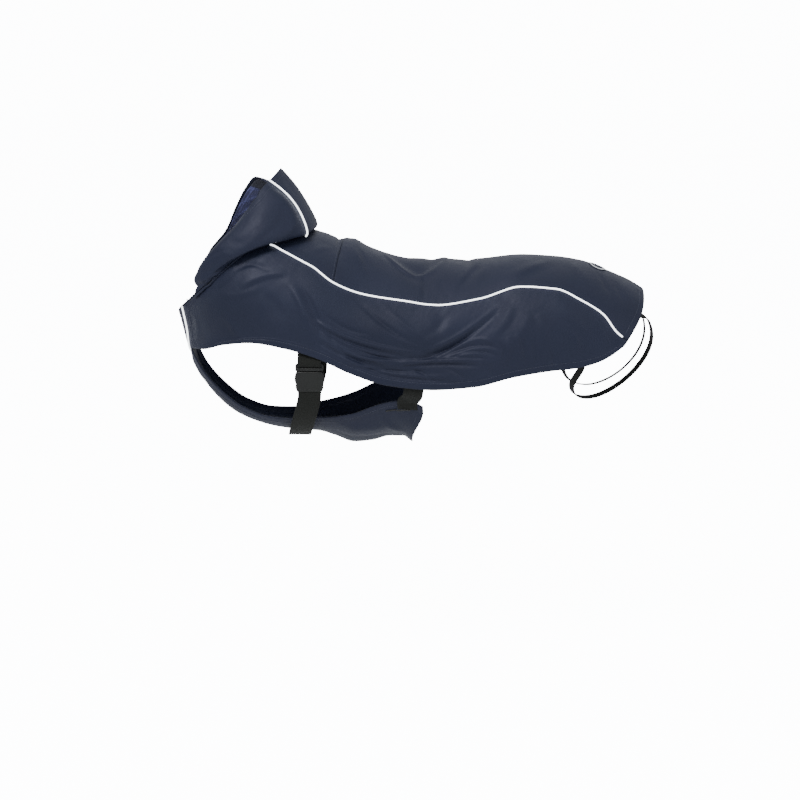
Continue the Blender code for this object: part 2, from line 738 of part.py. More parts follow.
def plug_mesh():
    """Buckle plug: a bar for the webbing, a shoulder, and two barbed prongs."""
    low = PLUG_LOW
    height = SHOULDER_HEIGHT + SLOT_HEIGHT + BAR_HEIGHT
    slot_z = low + SHOULDER_HEIGHT + SLOT_HEIGHT / 2
    size = (PLUG_WIDTH, PLUG_DEPTH, height)
    body = box("buckle_plug", size, (0, 0, low + height / 2), PLUG_ROUNDING)
    tools = [("DIFFERENCE", box("slot", (SLOT_WIDTH, 2 * PLUG_DEPTH, SLOT_HEIGHT), (0, 0, slot_z)))]
    root = low + PRONG_ROOT
    for side in (-1, 1):
        prong = box("prong", PRONG_SIZE, (side * PRONG_OUT, 0, root - PRONG_SIZE[2] / 2))
        barb = box("barb", BARB_SIZE, (side * BARB_OUT, 0, BARB_UP))
        tools += [("UNION", prong), ("UNION", barb)]
    tools.append(("UNION", box("guide", GUIDE_SIZE, (0, 0, root - GUIDE_SIZE[2] / 2))))
    return combined(body, tools)


def buckle_frame(side):
    """The buckle's outward and up directions on this side, and its middle."""
    outward = np.array([0, side * math.cos(BUCKLE_LEAN), -math.sin(BUCKLE_LEAN)])
    up = np.array([0, side * math.sin(BUCKLE_LEAN), math.cos(BUCKLE_LEAN)])
    return outward, up, np.array([BUCKLE_X, side * BUCKLE_OUT, BUCKLE_Z])


def bar_loop(side, bar, way):
    """Webbing round a buckle's bar, front layer to back layer, as (points, facing)."""
    outward, up, middle = buckle_frame(side)
    along, share, angle = columns_of(LOOP_ROUND_BAR, LOOP_COLUMNS, *LOOP_COLUMNS).T[..., None]
    tilt = np.radians(angle)
    points = middle + up * (bar + way * along) + outward * (share * LOOP_RADIUS)
    return points, outward * np.cos(tilt) - up * (way * np.sin(tilt))


def make_buckle(side, name, socket, plug):
    """Places one socket and the plug that is fastened in it."""
    for mesh, part in ((socket, "buckle_socket"), (plug, "buckle_plug")):
        piece = bpy.data.objects.new(f"{part}_{name}", mesh)
        piece.location = buckle_frame(side)[2] * MM
        piece.rotation_euler = (-side * BUCKLE_LEAN, 0, 0)
        bpy.context.scene.collection.objects.link(piece)


def make_girth_strap(webbing):
    """Upper straps, both buckles, and the strap that passes under the chest."""
    socket, plug = socket_mesh(), plug_mesh()
    plug_bar = PLUG_LOW + SHOULDER_HEIGHT + SLOT_HEIGHT
    socket_bar = SOCKET_RAISE - SOCKET_SIZE[2] / 2 - SLOT_HEIGHT
    loops = []
    for side, name in ((-1, "left"), (1, "right")):
        make_buckle(side, name, socket, plug)
        places = [(u_at(BUCKLE_X, side * w), side * w) for w in UPPER_STRAP_WS]
        hidden = [inside_spot(u, w, UPPER_STRAP_INSIDE) for u, w in places]
        points, facing = bar_loop(side, plug_bar, 1)
        # The hem hangs beside the loop's front end, so the strap leaves that end out.
        centres = np.concatenate([[spot for spot, _ in hidden], points[1:]])
        facing = np.concatenate([[normal for _, normal in hidden], facing[1:]])
        ribbon(f"girth_strap_{name}", centres, facing, GIRTH_WIDTH, webbing)
        loops.append(bar_loop(side, socket_bar, -1))

    (left, left_facing), (right, right_facing) = loops
    run = places_of(UNDER_CHEST, RUN_COLUMNS, "run")
    run = np.concatenate([left[:1], mirrored(run), run[-2::-1], right[:1]])
    knots = lengths_along(run)
    run = round_curve(knots, run, np.linspace(0, knots[-1], LOWER_STRAP_STEPS + 1)[1:-1])
    outward = unit((run - [0, 0, RIB_CAGE_Z]) * [0, 1, 1])
    centres = np.concatenate([left[::-1], run, right])
    facing = np.concatenate([left_facing[::-1], outward, right_facing])
    ribbon("girth_strap_lower", centres, facing, GIRTH_WIDTH, webbing)


def make_belly_straps(under, under_normals, webbing):
    """Straps from inside the hem to the rear corners of the belly panel."""
    rows, columns = under.shape[:2]
    u = u_at(BELLY_STRAP_HEM_X, 1.0)
    row = int(round(BELLY_STRAP_LAND * (rows - 1)))
    lift = CLOTH + WEBBING / 2 + BELLY_STRAP_LIFT
    for side, name in ((-1, "left"), (1, "right")):
        flip = np.array([1, side, 1])
        path = [inside_spot(u, side * w) for w in HEM_WS]
        for place in places_of(BELLY_STRAP_RUN, RUN_COLUMNS, "run"):
            path.append((place * flip, BELLY_STRAP_FACING * flip))
        for share in BELLY_STRAP_ACROSS:
            column = (side * share + 1) / 2 * (columns - 1)
            low = int(column)
            part = column - low
            spot = (1 - part) * under[row, low] + part * under[row, low + 1]
            normal = (1 - part) * under_normals[row, low] + part * under_normals[row, low + 1]
            path.append((spot + normal * lift, normal))
        centres, facing = (np.array(column) for column in zip(*path))
        ribbon(f"belly_strap_{name}", centres, facing, BELLY_STRAP_WIDTH, webbing)


def make_leg_loops(elastic):
    """Thin elastic loops round the thighs."""
    hem = u_at(LEG_LOOP_HEM_X, 1.0)
    for side, name in ((-1, "left"), (1, "right")):
        flip = np.array([1, side, 1])
        run = places_of(LEG_LOOP_RUN, RUN_COLUMNS, "run") * flip
        path = [inside_spot(u, side * LEG_LOOP_TAIL_W) for u in LEG_LOOP_TAIL_US]
        path += list(zip(run, unit(run - LEG_LOOP_CENTRE * flip)))
        path += [inside_spot(hem, side * w) for w in HEM_WS[::-1]]
        centres, facing = (np.array(column) for column in zip(*path))
        knots = lengths_along(centres)
        at = np.linspace(0, knots[-1], LEG_LOOP_STEPS + 1)
        ribbon(
            f"leg_loop_{name}",
            round_curve(knots, centres, at),
            tight_curve(knots, facing, at),
            ELASTIC_WIDTH,
            elastic,
        )


def make_rump_mark(look):
    """A plain round disc, its points moved out from the back panel."""
    u0, w0 = u_at(MARK_X, 0.0), MARK_W
    step_u, step_w = MARK_STEPS
    patch = plain_surface(np.array([u0, u0 + step_u]), np.array([w0, w0 + step_w]))
    per_u = step_u / np.linalg.norm(patch[1, 0] - patch[0, 0])
    per_w = step_w / np.linalg.norm(patch[0, 1] - patch[0, 0])
    count = MARK_SIDES
    low, high = [], []
    for radius in (MARK_RADIUS, MARK_RADIUS / 2):
        for k in range(count):
            angle = 2 * math.pi * k / count
            u = u0 + radius * math.cos(angle) * per_u
            w = w0 + radius * math.sin(angle) * per_w
            spot, normal = body_spot(u, w)
            low.append(spot + normal * (CLOTH + CLEARANCE))
            high.append(spot + normal * (CLOTH + CLEARANCE + MARK_THICKNESS))
    middle, normal = body_spot(u0, w0)
    low.append(middle + normal * (CLOTH + CLEARANCE))
    high.append(middle + normal * (CLOTH + CLEARANCE + MARK_THICKNESS))
    points = np.array(high + low)
    under = len(high)
    centre = 2 * count
    faces = []
    for k in range(count):
        n = (k + 1) % count
        faces.append((k, n, count + n, count + k))
        faces.append((under + k, under + count + k, under + count + n, under + n))
        faces.append((count + k, count + n, centre))
        faces.append((under + count + k, under + centre, under + count + n))
        faces.append((n, k, under + k, under + n))
    # Going round from u to w runs clockwise seen from outside, so every face is turned.
    add_mesh("rump_mark", points, [face[::-1] for face in faces], look)


def main():
    for old in list(bpy.data.objects):
        bpy.data.objects.remove(old)
    cloth = material("navy coated cloth", (0.040, 0.050, 0.085), 0.5)
    lining = material("blue check lining", (0.06, 0.065, 0.19), 0.8)
    piping = material("reflective piping", (0.82, 0.85, 0.90), 0.35)
    webbing = material("black webbing", (0.018, 0.019, 0.018), 0.7)
    material(BUCKLE_LOOK, (0.014, 0.015, 0.015), 0.45)
    mark = material("reflective mark", (0.45, 0.47, 0.50), 0.35)
    us, grid, normals = make_body(cloth, piping)
    make_hood(cloth, lining, piping)
    under, under_normals = make_under_panel(us, grid, normals, cloth, piping)
    make_girth_strap(webbing)
    make_belly_straps(under, under_normals, webbing)
    make_leg_loops(webbing)
    make_rump_mark(mark)


if __name__ == "__main__":
    main()
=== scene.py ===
"""Looks of a dog raincoat: piped coated cloth, check hood lining, webbing, buckles.

Lengths are in millimetres until a mesh is made, and every place is in the frame of the
solids: +X to the tail, -Y to the dog's left, +Z up, origin inside the back at mid-back.

The body is one surface. A section number u runs from the tail edge (0) to the neckline
(1), and w runs round from the left hem (-1) over the back (0) to the right hem (1).
Every panel is a stretch of it, with the large folds of its solid and finer creases.
"""

import json
import logging
import math
from dataclasses import dataclass, field
from enum import Enum

import bpy
import numpy as np
from bpy.types import Material, Node, NodeSocket, NodeTree, Object
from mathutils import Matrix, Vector

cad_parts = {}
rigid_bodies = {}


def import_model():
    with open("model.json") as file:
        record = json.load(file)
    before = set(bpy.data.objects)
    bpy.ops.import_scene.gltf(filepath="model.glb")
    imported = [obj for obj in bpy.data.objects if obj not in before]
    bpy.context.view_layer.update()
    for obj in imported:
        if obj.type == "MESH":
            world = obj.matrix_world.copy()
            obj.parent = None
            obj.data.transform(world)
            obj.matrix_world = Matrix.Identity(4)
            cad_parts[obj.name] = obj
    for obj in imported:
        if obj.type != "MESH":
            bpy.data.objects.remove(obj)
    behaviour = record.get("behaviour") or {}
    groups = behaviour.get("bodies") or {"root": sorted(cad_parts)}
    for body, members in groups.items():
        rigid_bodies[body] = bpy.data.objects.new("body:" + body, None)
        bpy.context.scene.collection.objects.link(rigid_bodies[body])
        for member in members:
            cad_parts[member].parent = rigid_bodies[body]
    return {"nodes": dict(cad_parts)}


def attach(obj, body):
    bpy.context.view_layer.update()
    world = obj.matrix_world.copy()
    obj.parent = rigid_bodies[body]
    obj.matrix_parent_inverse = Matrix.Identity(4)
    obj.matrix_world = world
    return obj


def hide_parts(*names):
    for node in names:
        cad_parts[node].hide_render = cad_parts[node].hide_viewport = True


MM = 0.001
ROOT = "root"
LOG = logging.getLogger("raincoat")

Array = np.ndarray
Colour = tuple[float, float, float]
Flat = tuple[float, float]
Rows = tuple[tuple[float, ...], ...]
# A point and the way out of the surface there.
Spot = tuple[Array, Array]
# Points, quads and the flat place of each point.
Mesh = tuple[Array, Array, Array]
Value = float | tuple[float, ...] | NodeSocket
Inputs = dict[str | int, Value]

CLOTH = 1.3
LINING = 1.0
CLEARANCE = 0.4
WEBBING = 1.4
PIPING_RADIUS = 1.15
STRAP_INSIDE = 2.5
# How far in a panel's border stays free of swell, and the width of a stitch's dent.
STILL_BORDER = 4.0
STITCH_DENT = 0.8
SIDES = (("left", -1), ("right", 1))

# Shares round the body of a section's five places, and the share of the long seam.
SHARES = (0.0, 0.22, 0.42, 0.70, 1.0)
SEAM = 0.42

# back x, z; then crown, seam, side and hem, each as x, out, z.
BODY_SECTIONS = {
    "tail edge": (323, -42, 317, 52, -64, 295, 82, -98, 293, 83, -101, 291, 84, -104),
    "rump low": (304, -30, 301, 50, -50, 280, 82, -86, 277, 84, -101, 273, 86, -117),
    "rump": (277, -18, 270, 45, -32, 261, 79, -63, 261, 87, -96, 256, 89, -125),
    "croup": (242, -5, 238, 45, -19, 233, 74, -46, 232, 89, -88, 229, 91, -132),
    "hip": (207, 1, 205, 45, -13, 202, 69, -33, 201, 91, -80, 197, 94, -135),
    "loin rear": (162, 3, 160, 45, -10, 157, 68, -30, 155, 93, -82, 147, 97, -143),
    "loin front": (104, -2, 103, 45, -16, 103, 75, -44.5, 102, 98, -95, 96, 101, -155),
    "middle rear": (49, -3, 49, 45, -18, 48, 80, -52, 46, 102, -103, 44, 105, -158),
    "middle front": (0, 1, 0, 45, -14, 0, 79, -46, -5, 104, -99, -15, 107, -152),
    "ribs": (-44, 14, -45, 45, -2, -48, 79, -38, -55, 105, -90, -64, 108, -136),
    "yoke": (-76, 22, -80, 45, 9, -86, 80.7, -23, -96, 104, -78, -108, 107, -116),
    "shoulder a": (-89, 28, -99, 45, 17, -112, 75, -4, -132, 102, -69, -149, 104, -104),
    "shoulder b": (-98, 32, -113, 45, 22, -129, 72, 5, -162, 99, -67, -191, 97, -98),
    "shoulder c": (-105, 34, -124, 45, 25, -143, 69, 12, -193, 94, -65, -228, 82, -103),
    "chest": (-111, 36, -135, 43, 29, -155, 66, 18, -215, 88, -62, -257, 58, -113),
    "corner": (-116, 37, -142, 40, 31, -163, 63, 22, -230, 82, -56, -275, 33, -116),
    "chest seam": (-121, 37, -147, 37, 33, -171, 59, 24, -239, 74, -40, -279, 31, -89),
    "neck": (-127, 38, -151, 33, 34, -179, 54, 27, -243, 63, -21, -285, 29, -60),
}

# Share of the neckline; then the fold, the face and the rim of the hood as x, out, z.
HOOD_SECTIONS = {
    "front end": (0.85, -264, 52, -32, -267, 51, -26, -266, 48, -18),
    "front": (0.78, -254, 63, -19, -258, 62, -7, -253, 53, 4),
    "cheek": (0.68, -231, 75, 0, -239, 71, 17, -229, 56, 29),
    "side": (0.56, -202, 80, 16, -208, 74, 42, -206, 56, 57),
    "rear": (0.44, -171, 76, 28, -177, 67, 63, -187, 50, 83),
    "quarter": (0.31, -145, 62, 33, -147, 55, 69, -178, 41, 97),
    "seam": (0.19, -124, 46, 37, -128, 42, 55, -171, 32, 104),
    "ridge": (0.0, -113, 0, 42, -120, 0, 67, -158, 0, 118),
}
HOOD_LIFT = 2 * CLOTH + 0.5
HOOD_SHARES = (0.0, 0.16, 0.34, 0.66, 1.0)
FLOOR_RISE = 2.0
# How much farther forward and lower the right rim lies than the left one.
RIGHT_RIM = ((0, 0), (3, 0), (6, 0), (17, -2), (21, -5), (16, -6), (4, 9))

# Share of the way down the chest seam, and the centre line's x, z there.
CHEST_SECTIONS = (
    (0.0, -294, -67), (0.16, -291.5, -76), (0.45, -287, -92), (0.7, -284, -106),
    (1.0, -279.5, -121),
)
# Centre line x, z and edge x, out, z, from the band under the chest to the rear edge.
BELLY_SECTIONS = (
    (-275, -140, -268, 30, -134), (-264, -160, -257, 29, -152),
    (-245, -185, -236, 29, -175), (-216, -209, -208, 30, -196),
    (-179, -223, -173, 34, -208), (-139, -229, -136, 42, -210),
    (-111, -231, -109, 52, -205), (-87, -238, -83, 64, -201),
    (-62, -247, -60, 74, -195), (-38, -245, -37, 80, -185),
    (-14, -239, -13, 84, -177), (4, -239, 9, 86, -174), (17, -247, 30, 85, -184),
)
MIDWAY_OUT = 0.6
MIDWAY_RISE = 0.26
# Rows of the chest seam, and the share of the way where the rear edge's wave starts.
CHEST_SEAM_ROWS = 5
REAR_WAVE_FROM = 0.88
# Half the side of the patch that gives one spot's normal, in shares.
PATCH = 0.004
# Points along a crease's line, and widths from it beyond which it is left out.
CREASE_POINTS = 25
CREASE_REACH = 3


class Aspect(Enum):
    """A side from which creases are placed: looks along, flat axes, facing from, over."""

    LEFT = ((0, -1, 0), (0, 2), 0.35, 0.5)
    RIGHT = ((0, 1, 0), (0, 2), 0.35, 0.5)
    TOP = ((0, 0, 1), (0, 1), 0.45, 0.4)
    FRONT = ((-1, 0, 0), (1, 2), 0.35, 0.5)
    UNDER = ((0, 0, -1), (0, 1), 0.25, 0.5)


@dataclass(frozen=True)
class Crease:
    """A soft ridge, or a trough where its height is below 0, along a bent line.

    The three ends are places on the aspect's flat axes, and lean widens one flank.
    """

    start: tuple[float, float]
    middle: tuple[float, float]
    end: tuple[float, float]
    width: float
    height: float
    lean: float = 0.0

    @classmethod
    def of(cls, row: tuple[float, ...]) -> "Crease":
        """The crease that one row of a table gives."""
        return cls(row[:2], row[2:4], row[4:6], *row[6:])


CreaseTable = dict[Aspect, Rows]

# Each row: start, middle and end, two numbers each; then width, height and, if any, lean.

BODY_CREASES = {
    Aspect.LEFT: (
        (-102, -68, 35, -112, 138, -46, 15, -4.5), (-75, -118, 40, -128, 120, -100, 12, -3),
        (-60, -100, 45, -122, 110, -92, 9, 2), (-143, -25, -124, -70, -121, -108, 9, 2.2),
        (18, -121, 70, -100, 124, -60, 4, -3.3, 0.35),
        (46, -112, 70, -101, 96, -82, 2.2, -1.6, 0.2), (30, -107, 76, -88, 130, -50, 5, 1.9, -0.3),
        (42, -123, 92, -102, 128, -106, 3, -2.2, 0.3), (52, -115, 88, -111, 112, -115, 3.4, 1.6),
        (-6, -123, 49, -119, 122, -121, 3, 2.2, -0.3), (2, -128, 52, -125, 108, -128, 2.6, -1.8),
        (-4, -142, 43, -146, 84, -149, 2.6, -1.5), (12, -131, 26, -135, 42, -145, 2.4, -1.8, 0.3),
        (58, -130, 74, -136, 86, -147, 2.4, -1.3), (158, -93, 160, -106, 163, -120, 3, -1.5),
        (197, -105, 198, -118, 199, -131, 3, -1.5), (222, -80, 227, -95, 231, -110, 4, 1.4),
        (176, -60, 184, -78, 186, -104, 6, 1.4), (-143, -22, -126, -50, -114, -92, 5.5, 2.6, 0.3),
        (-131, -26, -112, -52, -101, -96, 4.6, -2.2, -0.2),
        (-118, -61, -59, -91, 26, -110, 3.4, 2.8, -0.35),
        (-110, -69, -58, -98, 18, -116, 3, -2.5, 0.3), (-91, -82, -59, -109, 39, -117, 2.6, -1.8),
        (-104, -96, -59, -118, 0, -136, 2.8, -2.3, 0.3), (-102, -90, -55, -111, 2, -128, 3, 1.8),
        (-55, -119, -25, -136, 24, -144, 2.4, -1.7), (-82, -104, -60, -122, -30, -130, 2.4, 1.3),
        (-224, -65, -216, -79, -207, -93, 3.6, 1.4, 0.3),
        (-198, -61, -188, -78, -177, -94, 3.6, 1.1, 0.3),
        (-191, -64, -180, -81, -169, -96, 4, -0.9), (-170, -58, -160, -74, -152, -92, 5, 0.7),
        (-257, -26, -236, -27, -216, -13, 3.4, -2.2),
        (-214, -10, -194, 1, -172, -5, 3.4, -2.2, 0.3),
        (-208, -30, -178, -14, -142, -9, 4.6, 2.2, 0.3), (-236, -38, -206, -36, -180, -24, 4, 1.1),
        (-55, -47, -26, -70, 0, -88, 3, -1.1, 0.3), (-20, -52, 6, -74, 32, -92, 3.6, 0.8),
        (-274, -64, -264, -85, -269, -108, 3.2, 1.3), (205, -52, 226, -70, 240, -92, 8, 1.3),
        (138, -88, 140, -104, 136, -122, 4, 1.2), (112, -124, 118, -132, 120, -142, 3, -1.2),
        (150, -52, 143, -74, 120, -96, 6, -1.3, 0.2), (166, -60, 160, -80, 140, -104, 6, 1),
        (62, -62, 48, -78, 20, -96, 5, -1), (52, -52, 50, -80, 46, -104, 7, -1),
        (-40, -60, -8, -84, 30, -100, 3.6, -1.3, 0.3), (-150, -108, -130, -116, -104, -118, 4, 0.9),
        (-176, -34, -160, -48, -150, -70, 6, -1), (-108, -75, -58, -104, 14, -122, 2, -1.6, 0.3),
        (-86, -93, -50, -114, 8, -120, 2, 1.1), (-72, -125, -20, -132, 34, -133, 2.1, -1.5),
        (-30, -129, 10, -138, 62, -140, 2.1, 1.1), (58, -119, 96, -108, 126, -115, 2.1, -1.5),
        (82, -100, 104, -92, 122, -101, 2.1, 1.1), (124, -96, 134, -108, 130, -123, 2.2, -1.3),
        (-96, -60, -70, -77, -40, -85, 2.2, -1.1), (150, -84, 152, -98, 158, -113, 2.2, 0.9),
        (172, -96, 174, -110, 178, -127, 2.2, -1.1),
    ),
    Aspect.RIGHT: (
        (-92, -76, 20, -109, 120, -58, 16, -4.2), (-50, -126, 60, -132, 128, -108, 12, -2.6),
        (-70, -104, 30, -119, 100, -96, 9, 1.8), (-140, -30, -128, -72, -118, -106, 9, 2),
        (8, -116, 58, -104, 110, -68, 4.4, -2.1, 0.35), (30, -108, 52, -101, 84, -88, 2.8, -1.2),
        (16, -102, 66, -88, 118, -52, 6, 1.2, -0.3),
        (34, -126, 82, -112, 120, -112, 3.2, -1.4, 0.3), (-16, -124, 38, -123, 96, -126, 3.2, 1.3),
        (-8, -140, 30, -146, 70, -150, 2.8, -0.9), (90, -118, 112, -128, 124, -142, 2.6, -0.9),
        (150, -92, 154, -106, 160, -122, 3, -0.8), (206, -96, 212, -108, 214, -124, 3.2, 0.9),
        (-138, -24, -130, -54, -116, -94, 6.5, 1.6, 0.3),
        (-126, -28, -114, -56, -100, -98, 5.5, -1.3),
        (-112, -60, -62, -96, 12, -112, 3.6, 1.7, -0.35),
        (-104, -72, -60, -104, 6, -119, 3.2, -1.4, 0.3), (-96, -94, -66, -116, -14, -134, 3, -1.2),
        (-58, -112, -30, -130, 16, -142, 2.6, 0.8), (-216, -66, -206, -80, -196, -96, 3.4, 1),
        (-186, -60, -176, -80, -168, -96, 3.8, -0.9), (-248, -30, -226, -26, -206, -16, 3.6, -1.4),
        (-204, -24, -176, -12, -146, -12, 4.6, 1.5), (-46, -52, -20, -72, 8, -90, 3.2, -1),
        (-272, -66, -262, -88, -268, -110, 3.4, 1.1), (196, -56, 216, -74, 232, -98, 8, 0.8),
    ),
    Aspect.TOP: (
        (-18, -6, 12, -34, 38, -62, 12, -3), (60, -4, 40, -26, 22, -52, 11, -2.4),
        (-58, -56, -62, 0, -58, 56, 13, 6), (92, -50, 86, 0, 92, 50, 14, -1.6),
        (-22, -8, 0, -36, 21, -47, 4.2, 3, 0.3), (19, -46, 38, -39, 58, -8, 4, 2.6, -0.3),
        (32, -48, 31, -62, 30, -76, 3.2, -2), (44, -44, 46, -58, 44, -70, 5, 0.7),
        (104, -24, 91, -46, 78, -62, 5.6, -2, 0.3), (114, -28, 104, -48, 96, -62, 6, 0.9),
        (124, -64, 160, -48, 198, -24, 6, 1.2, 0.3), (136, -66, 172, -54, 208, -34, 7, -0.8),
        (261, -28, 267, -43, 272, -58, 3.2, -0.8), (283, -34, 288, -49, 292, -62, 3.2, -0.7),
        (222, -20, 238, -42, 248, -62, 8, 0.7), (-62, -20, -46, -42, -40, -66, 5, -1.1),
        (-14, 14, 8, 38, 26, 50, 4.8, 1.8, 0.3), (24, 50, 44, 36, 60, 12, 4.4, 1.5, -0.3),
        (34, 50, 36, 62, 34, 76, 3.6, -1.2), (108, 20, 98, 44, 82, 64, 5.6, -1.7),
        (130, 62, 164, 46, 196, 20, 6.4, 1), (256, 30, 264, 46, 268, 60, 3.4, -0.7),
        (-54, 24, -42, 46, -34, 68, 5, -1), (-92, -40, -104, -48, -118, -62, 4, 0.8),
        (-92, 34, -106, 48, -116, 66, 4, 0.8), (8, -70, 10, 0, 6, 66, 10, -1.1),
        (34, -58, 42, 0, 36, 56, 6, -1.3), (54, -50, 59, 0, 56, 52, 7, 1.6, 0.2),
        (84, -40, 92, 0, 86, 44, 6, -1.5), (-78, -58, -82, 0, -78, 58, 3, -1.6, -0.3),
        (-70, -58, -72, 0, -70, 58, 5, 1.5, 0.3),
    ),
}
HOOD_CREASES = {
    Aspect.LEFT: (
        (-170, 96, -178, 64, -206, 26, 8, 0.8, 0.3), (-150, 72, -159, 50, -192, 26, 6.5, -0.9, 0.3),
        (-232, 22, -205, 12, -166, 32, 5.5, 1.3), (-222, 36, -206, 30, -186, 44, 6, -0.9),
        (-258, -12, -248, -8, -238, 6, 4, -1.2), (-262, -22, -250, -20, -232, -6, 3, 0.9),
        (-198, 74, -200, 56, -216, 38, 5, -0.8), (-136, 60, -140, 46, -156, 36, 4, 0.9),
        (-264, -27, -244, -14, -212, -1, 2.6, 1.3, 0.3),
        (-260, -32, -240, -20, -212, -9, 2.4, -1.3), (-252, 3, -240, 14, -224, 20, 3, -0.9),
    ),
    Aspect.RIGHT: (
        (-176, 92, -184, 62, -208, 30, 8, 1.4, 0.3), (-152, 68, -162, 48, -190, 30, 6.5, -1.4),
        (-226, 20, -200, 16, -170, 34, 5.5, 1.1), (-256, -10, -246, -4, -236, 8, 4, -1.1),
        (-204, 70, -206, 52, -218, 36, 5, -0.8),
    ),
    Aspect.TOP: (
        (-163, -24, -148, -16, -128, -22, 5, -1.1), (-166, 14, -146, 18, -126, 12, 5, -0.9),
        (-160, -4, -142, 0, -122, -6, 6, 0.9),
    ),
}
BELLY_CREASES = {
    Aspect.FRONT: (
        (-14, -76, -6, -110, -12, -150, 6, 1.1), (10, -84, 14, -120, 6, -156, 6, -1),
        (-22, -122, -4, -128, 20, -124, 4, -0.9), (-24, -150, 0, -158, 24, -152, 5, 0.9),
    ),
    Aspect.UNDER: (
        (-190, -20, -150, -12, -110, -22, 7, 1), (-188, 18, -150, 14, -104, 26, 7, -1),
        (-92, -40, -50, -44, 6, -36, 8, -2, 0.3), (-96, -54, -56, -60, -6, -56, 5, 1.5),
        (-88, 34, -46, 44, 10, 32, 8, -1.8, -0.3), (-90, 52, -44, 60, 4, 54, 5, 1.3),
        (-98, -8, -52, 2, 6, -6, 10, -1.4), (-24, -72, -12, -58, 10, -48, 4.5, 1.6),
        (-22, 70, -8, 58, 14, 46, 4.5, 1.5), (-128, -30, -122, 0, -128, 30, 4, -0.8),
    ),
}

REAR_WAVE = (0.0, 0.3, -0.4, -1.4, -2.4, -2.6, -1.6, 0.4, 2.6, 3.0, 0.2)
UNDER_CHEST = (
    (-118, 100.0, -173), (-121, 94.5, -186), (-126, 82, -203.5), (-130.5, 64, -219.5),
    (-133, 44, -229.5), (-134.5, 21, -235), (-135, 0, -236.5),
)
BELLY_STRAP_RUN = ((17, 101, -163, 0.95, -0.3), (14.5, 94.5, -171, 0.78, -0.62))
LEG_LOOP_RUN = (
    (322, 47, -72), (330, 41, -86), (331, 33, -110), (315, 28, -142),
    (284, 31, -169), (250, 42, -180), (230, 56, -173), (225, 70, -157),
)
LEG_LOOP_CENTRE = (275, 46, -122)
CHEST_CENTRE = np.array([0, 0, -120.0])
BUCKLE_MIDDLE = (-117.0, 100.0, -146.0)
BUCKLE_LEAN = math.radians(7.0)
# Webbing round a bar: way along the strap, share of the bar's radius out, turn in degrees.
BAR_LOOP = (
    (9.0, 1.0, 0), (2.2, 1.0, 0), (-0.6, 0.82, 40), (-2.0, 0.0, 90),
    (-0.6, -0.82, 140), (2.2, -1.0, 180), (9.0, -0.9, 180),
)
# A stitch: share of its half length, rise, and share of the thread's radius.
STITCH_PROFILE = (
    (-1.0, -0.30, 0.1), (-0.86, -0.10, 0.8), (-0.4, 0.12, 1.0),
    (0.4, 0.12, 1.0), (0.86, -0.10, 0.8), (1.0, -0.30, 0.1),
)


# ---------------------------------------------------------------- curves and grids


def harmonic_curve(knots: Array, rows: Array, at: Array) -> Array:
    """Cubic pieces whose slope at a knot is the harmonic mean of its neighbours'.

    Args:
        knots: Rising positions of the rows.
        rows: Values, one row for each knot.
        at: Positions to work out.

    Returns:
        Values at the positions; they never swing past the rows.
    """
    knots, rows, at = (np.asarray(x, float) for x in (knots, rows, at))
    step = np.diff(knots)[:, None]
    rise = np.diff(rows, axis=0) / step
    product = rise[:-1] * rise[1:]
    total = np.where(product > 0, rise[:-1] + rise[1:], 1.0)
    middle = np.where(product > 0, 2 * product / total, 0.0)
    slope = np.concatenate([rise[:1], middle, rise[-1:]])
    span = np.clip(np.searchsorted(knots, at, side="right") - 1, 0, len(knots) - 2)
    width = step[span]
    s = (at - knots[span])[:, None] / width
    return (
        (1 + 2 * s) * (1 - s) ** 2 * rows[span]
        + s * (1 - s) ** 2 * width * slope[span]
        + s * s * (3 - 2 * s) * rows[span + 1]
        + s * s * (s - 1) * width * slope[span + 1]
    )


def natural_curve(knots: Array, rows: Array, at: Array) -> Array:
    """Cubic spline with even curvature through the rows and none at its two ends.

    Args:
        knots: Rising positions of the rows.
        rows: Values, one row for each knot.
        at: Positions to work out.

    Returns:
        Values at the positions.
    """
    count = len(knots)
    step = np.diff(knots)
    rise = np.diff(rows, axis=0) / step[:, None]
    system = np.eye(count)
    bend = np.zeros_like(rows)
    for k in range(1, count - 1):
        system[k, k - 1 : k + 2] = step[k - 1], 2 * (step[k - 1] + step[k]), step[k]
        bend[k] = 6 * (rise[k] - rise[k - 1])
    bend = np.linalg.solve(system, bend)
    span = np.clip(np.searchsorted(knots, at, side="right") - 1, 0, count - 2)
    width = step[span][:, None]
    b = (at - knots[span])[:, None] / width
    a = 1 - b
    bent = (a**3 - a) * bend[span] + (b**3 - b) * bend[span + 1]
    return a * rows[span] + b * rows[span + 1] + bent * width**2 / 6


def lengths_along(points: Array, axis: int = 0) -> Array:
    """Running length of every chain of points, from 0.

    Args:
        points: Points, xyz last.
        axis: The axis that the chains run along.

    Returns:
        The lengths, one for each point.
    """
    steps = np.linalg.norm(np.diff(points, axis=axis), axis=-1)
    start = np.zeros_like(np.take(steps, [0], axis=axis))
    return np.concatenate([start, np.cumsum(steps, axis=axis)], axis=axis)


def unit(vectors: Array) -> Array:
    """The vectors at length 1."""
    return vectors / np.linalg.norm(vectors, axis=-1, keepdims=True)


def mirrored(points: Array) -> Array:
    """The points on the other side of the centre plane."""
    return points * np.array([1.0, -1.0, 1.0])


def smooth_step(value: Array) -> Array:
    """0 below 0, 1 above 1, and an even S between them."""
    share = np.clip(value, 0.0, 1.0)
    return share * share * (3 - 2 * share)


def normals_of(grid: Array) -> Array:
    """Unit normals of a grid: its second direction crossed with its first."""
    return unit(np.cross(np.gradient(grid, axis=1), np.gradient(grid, axis=0)))


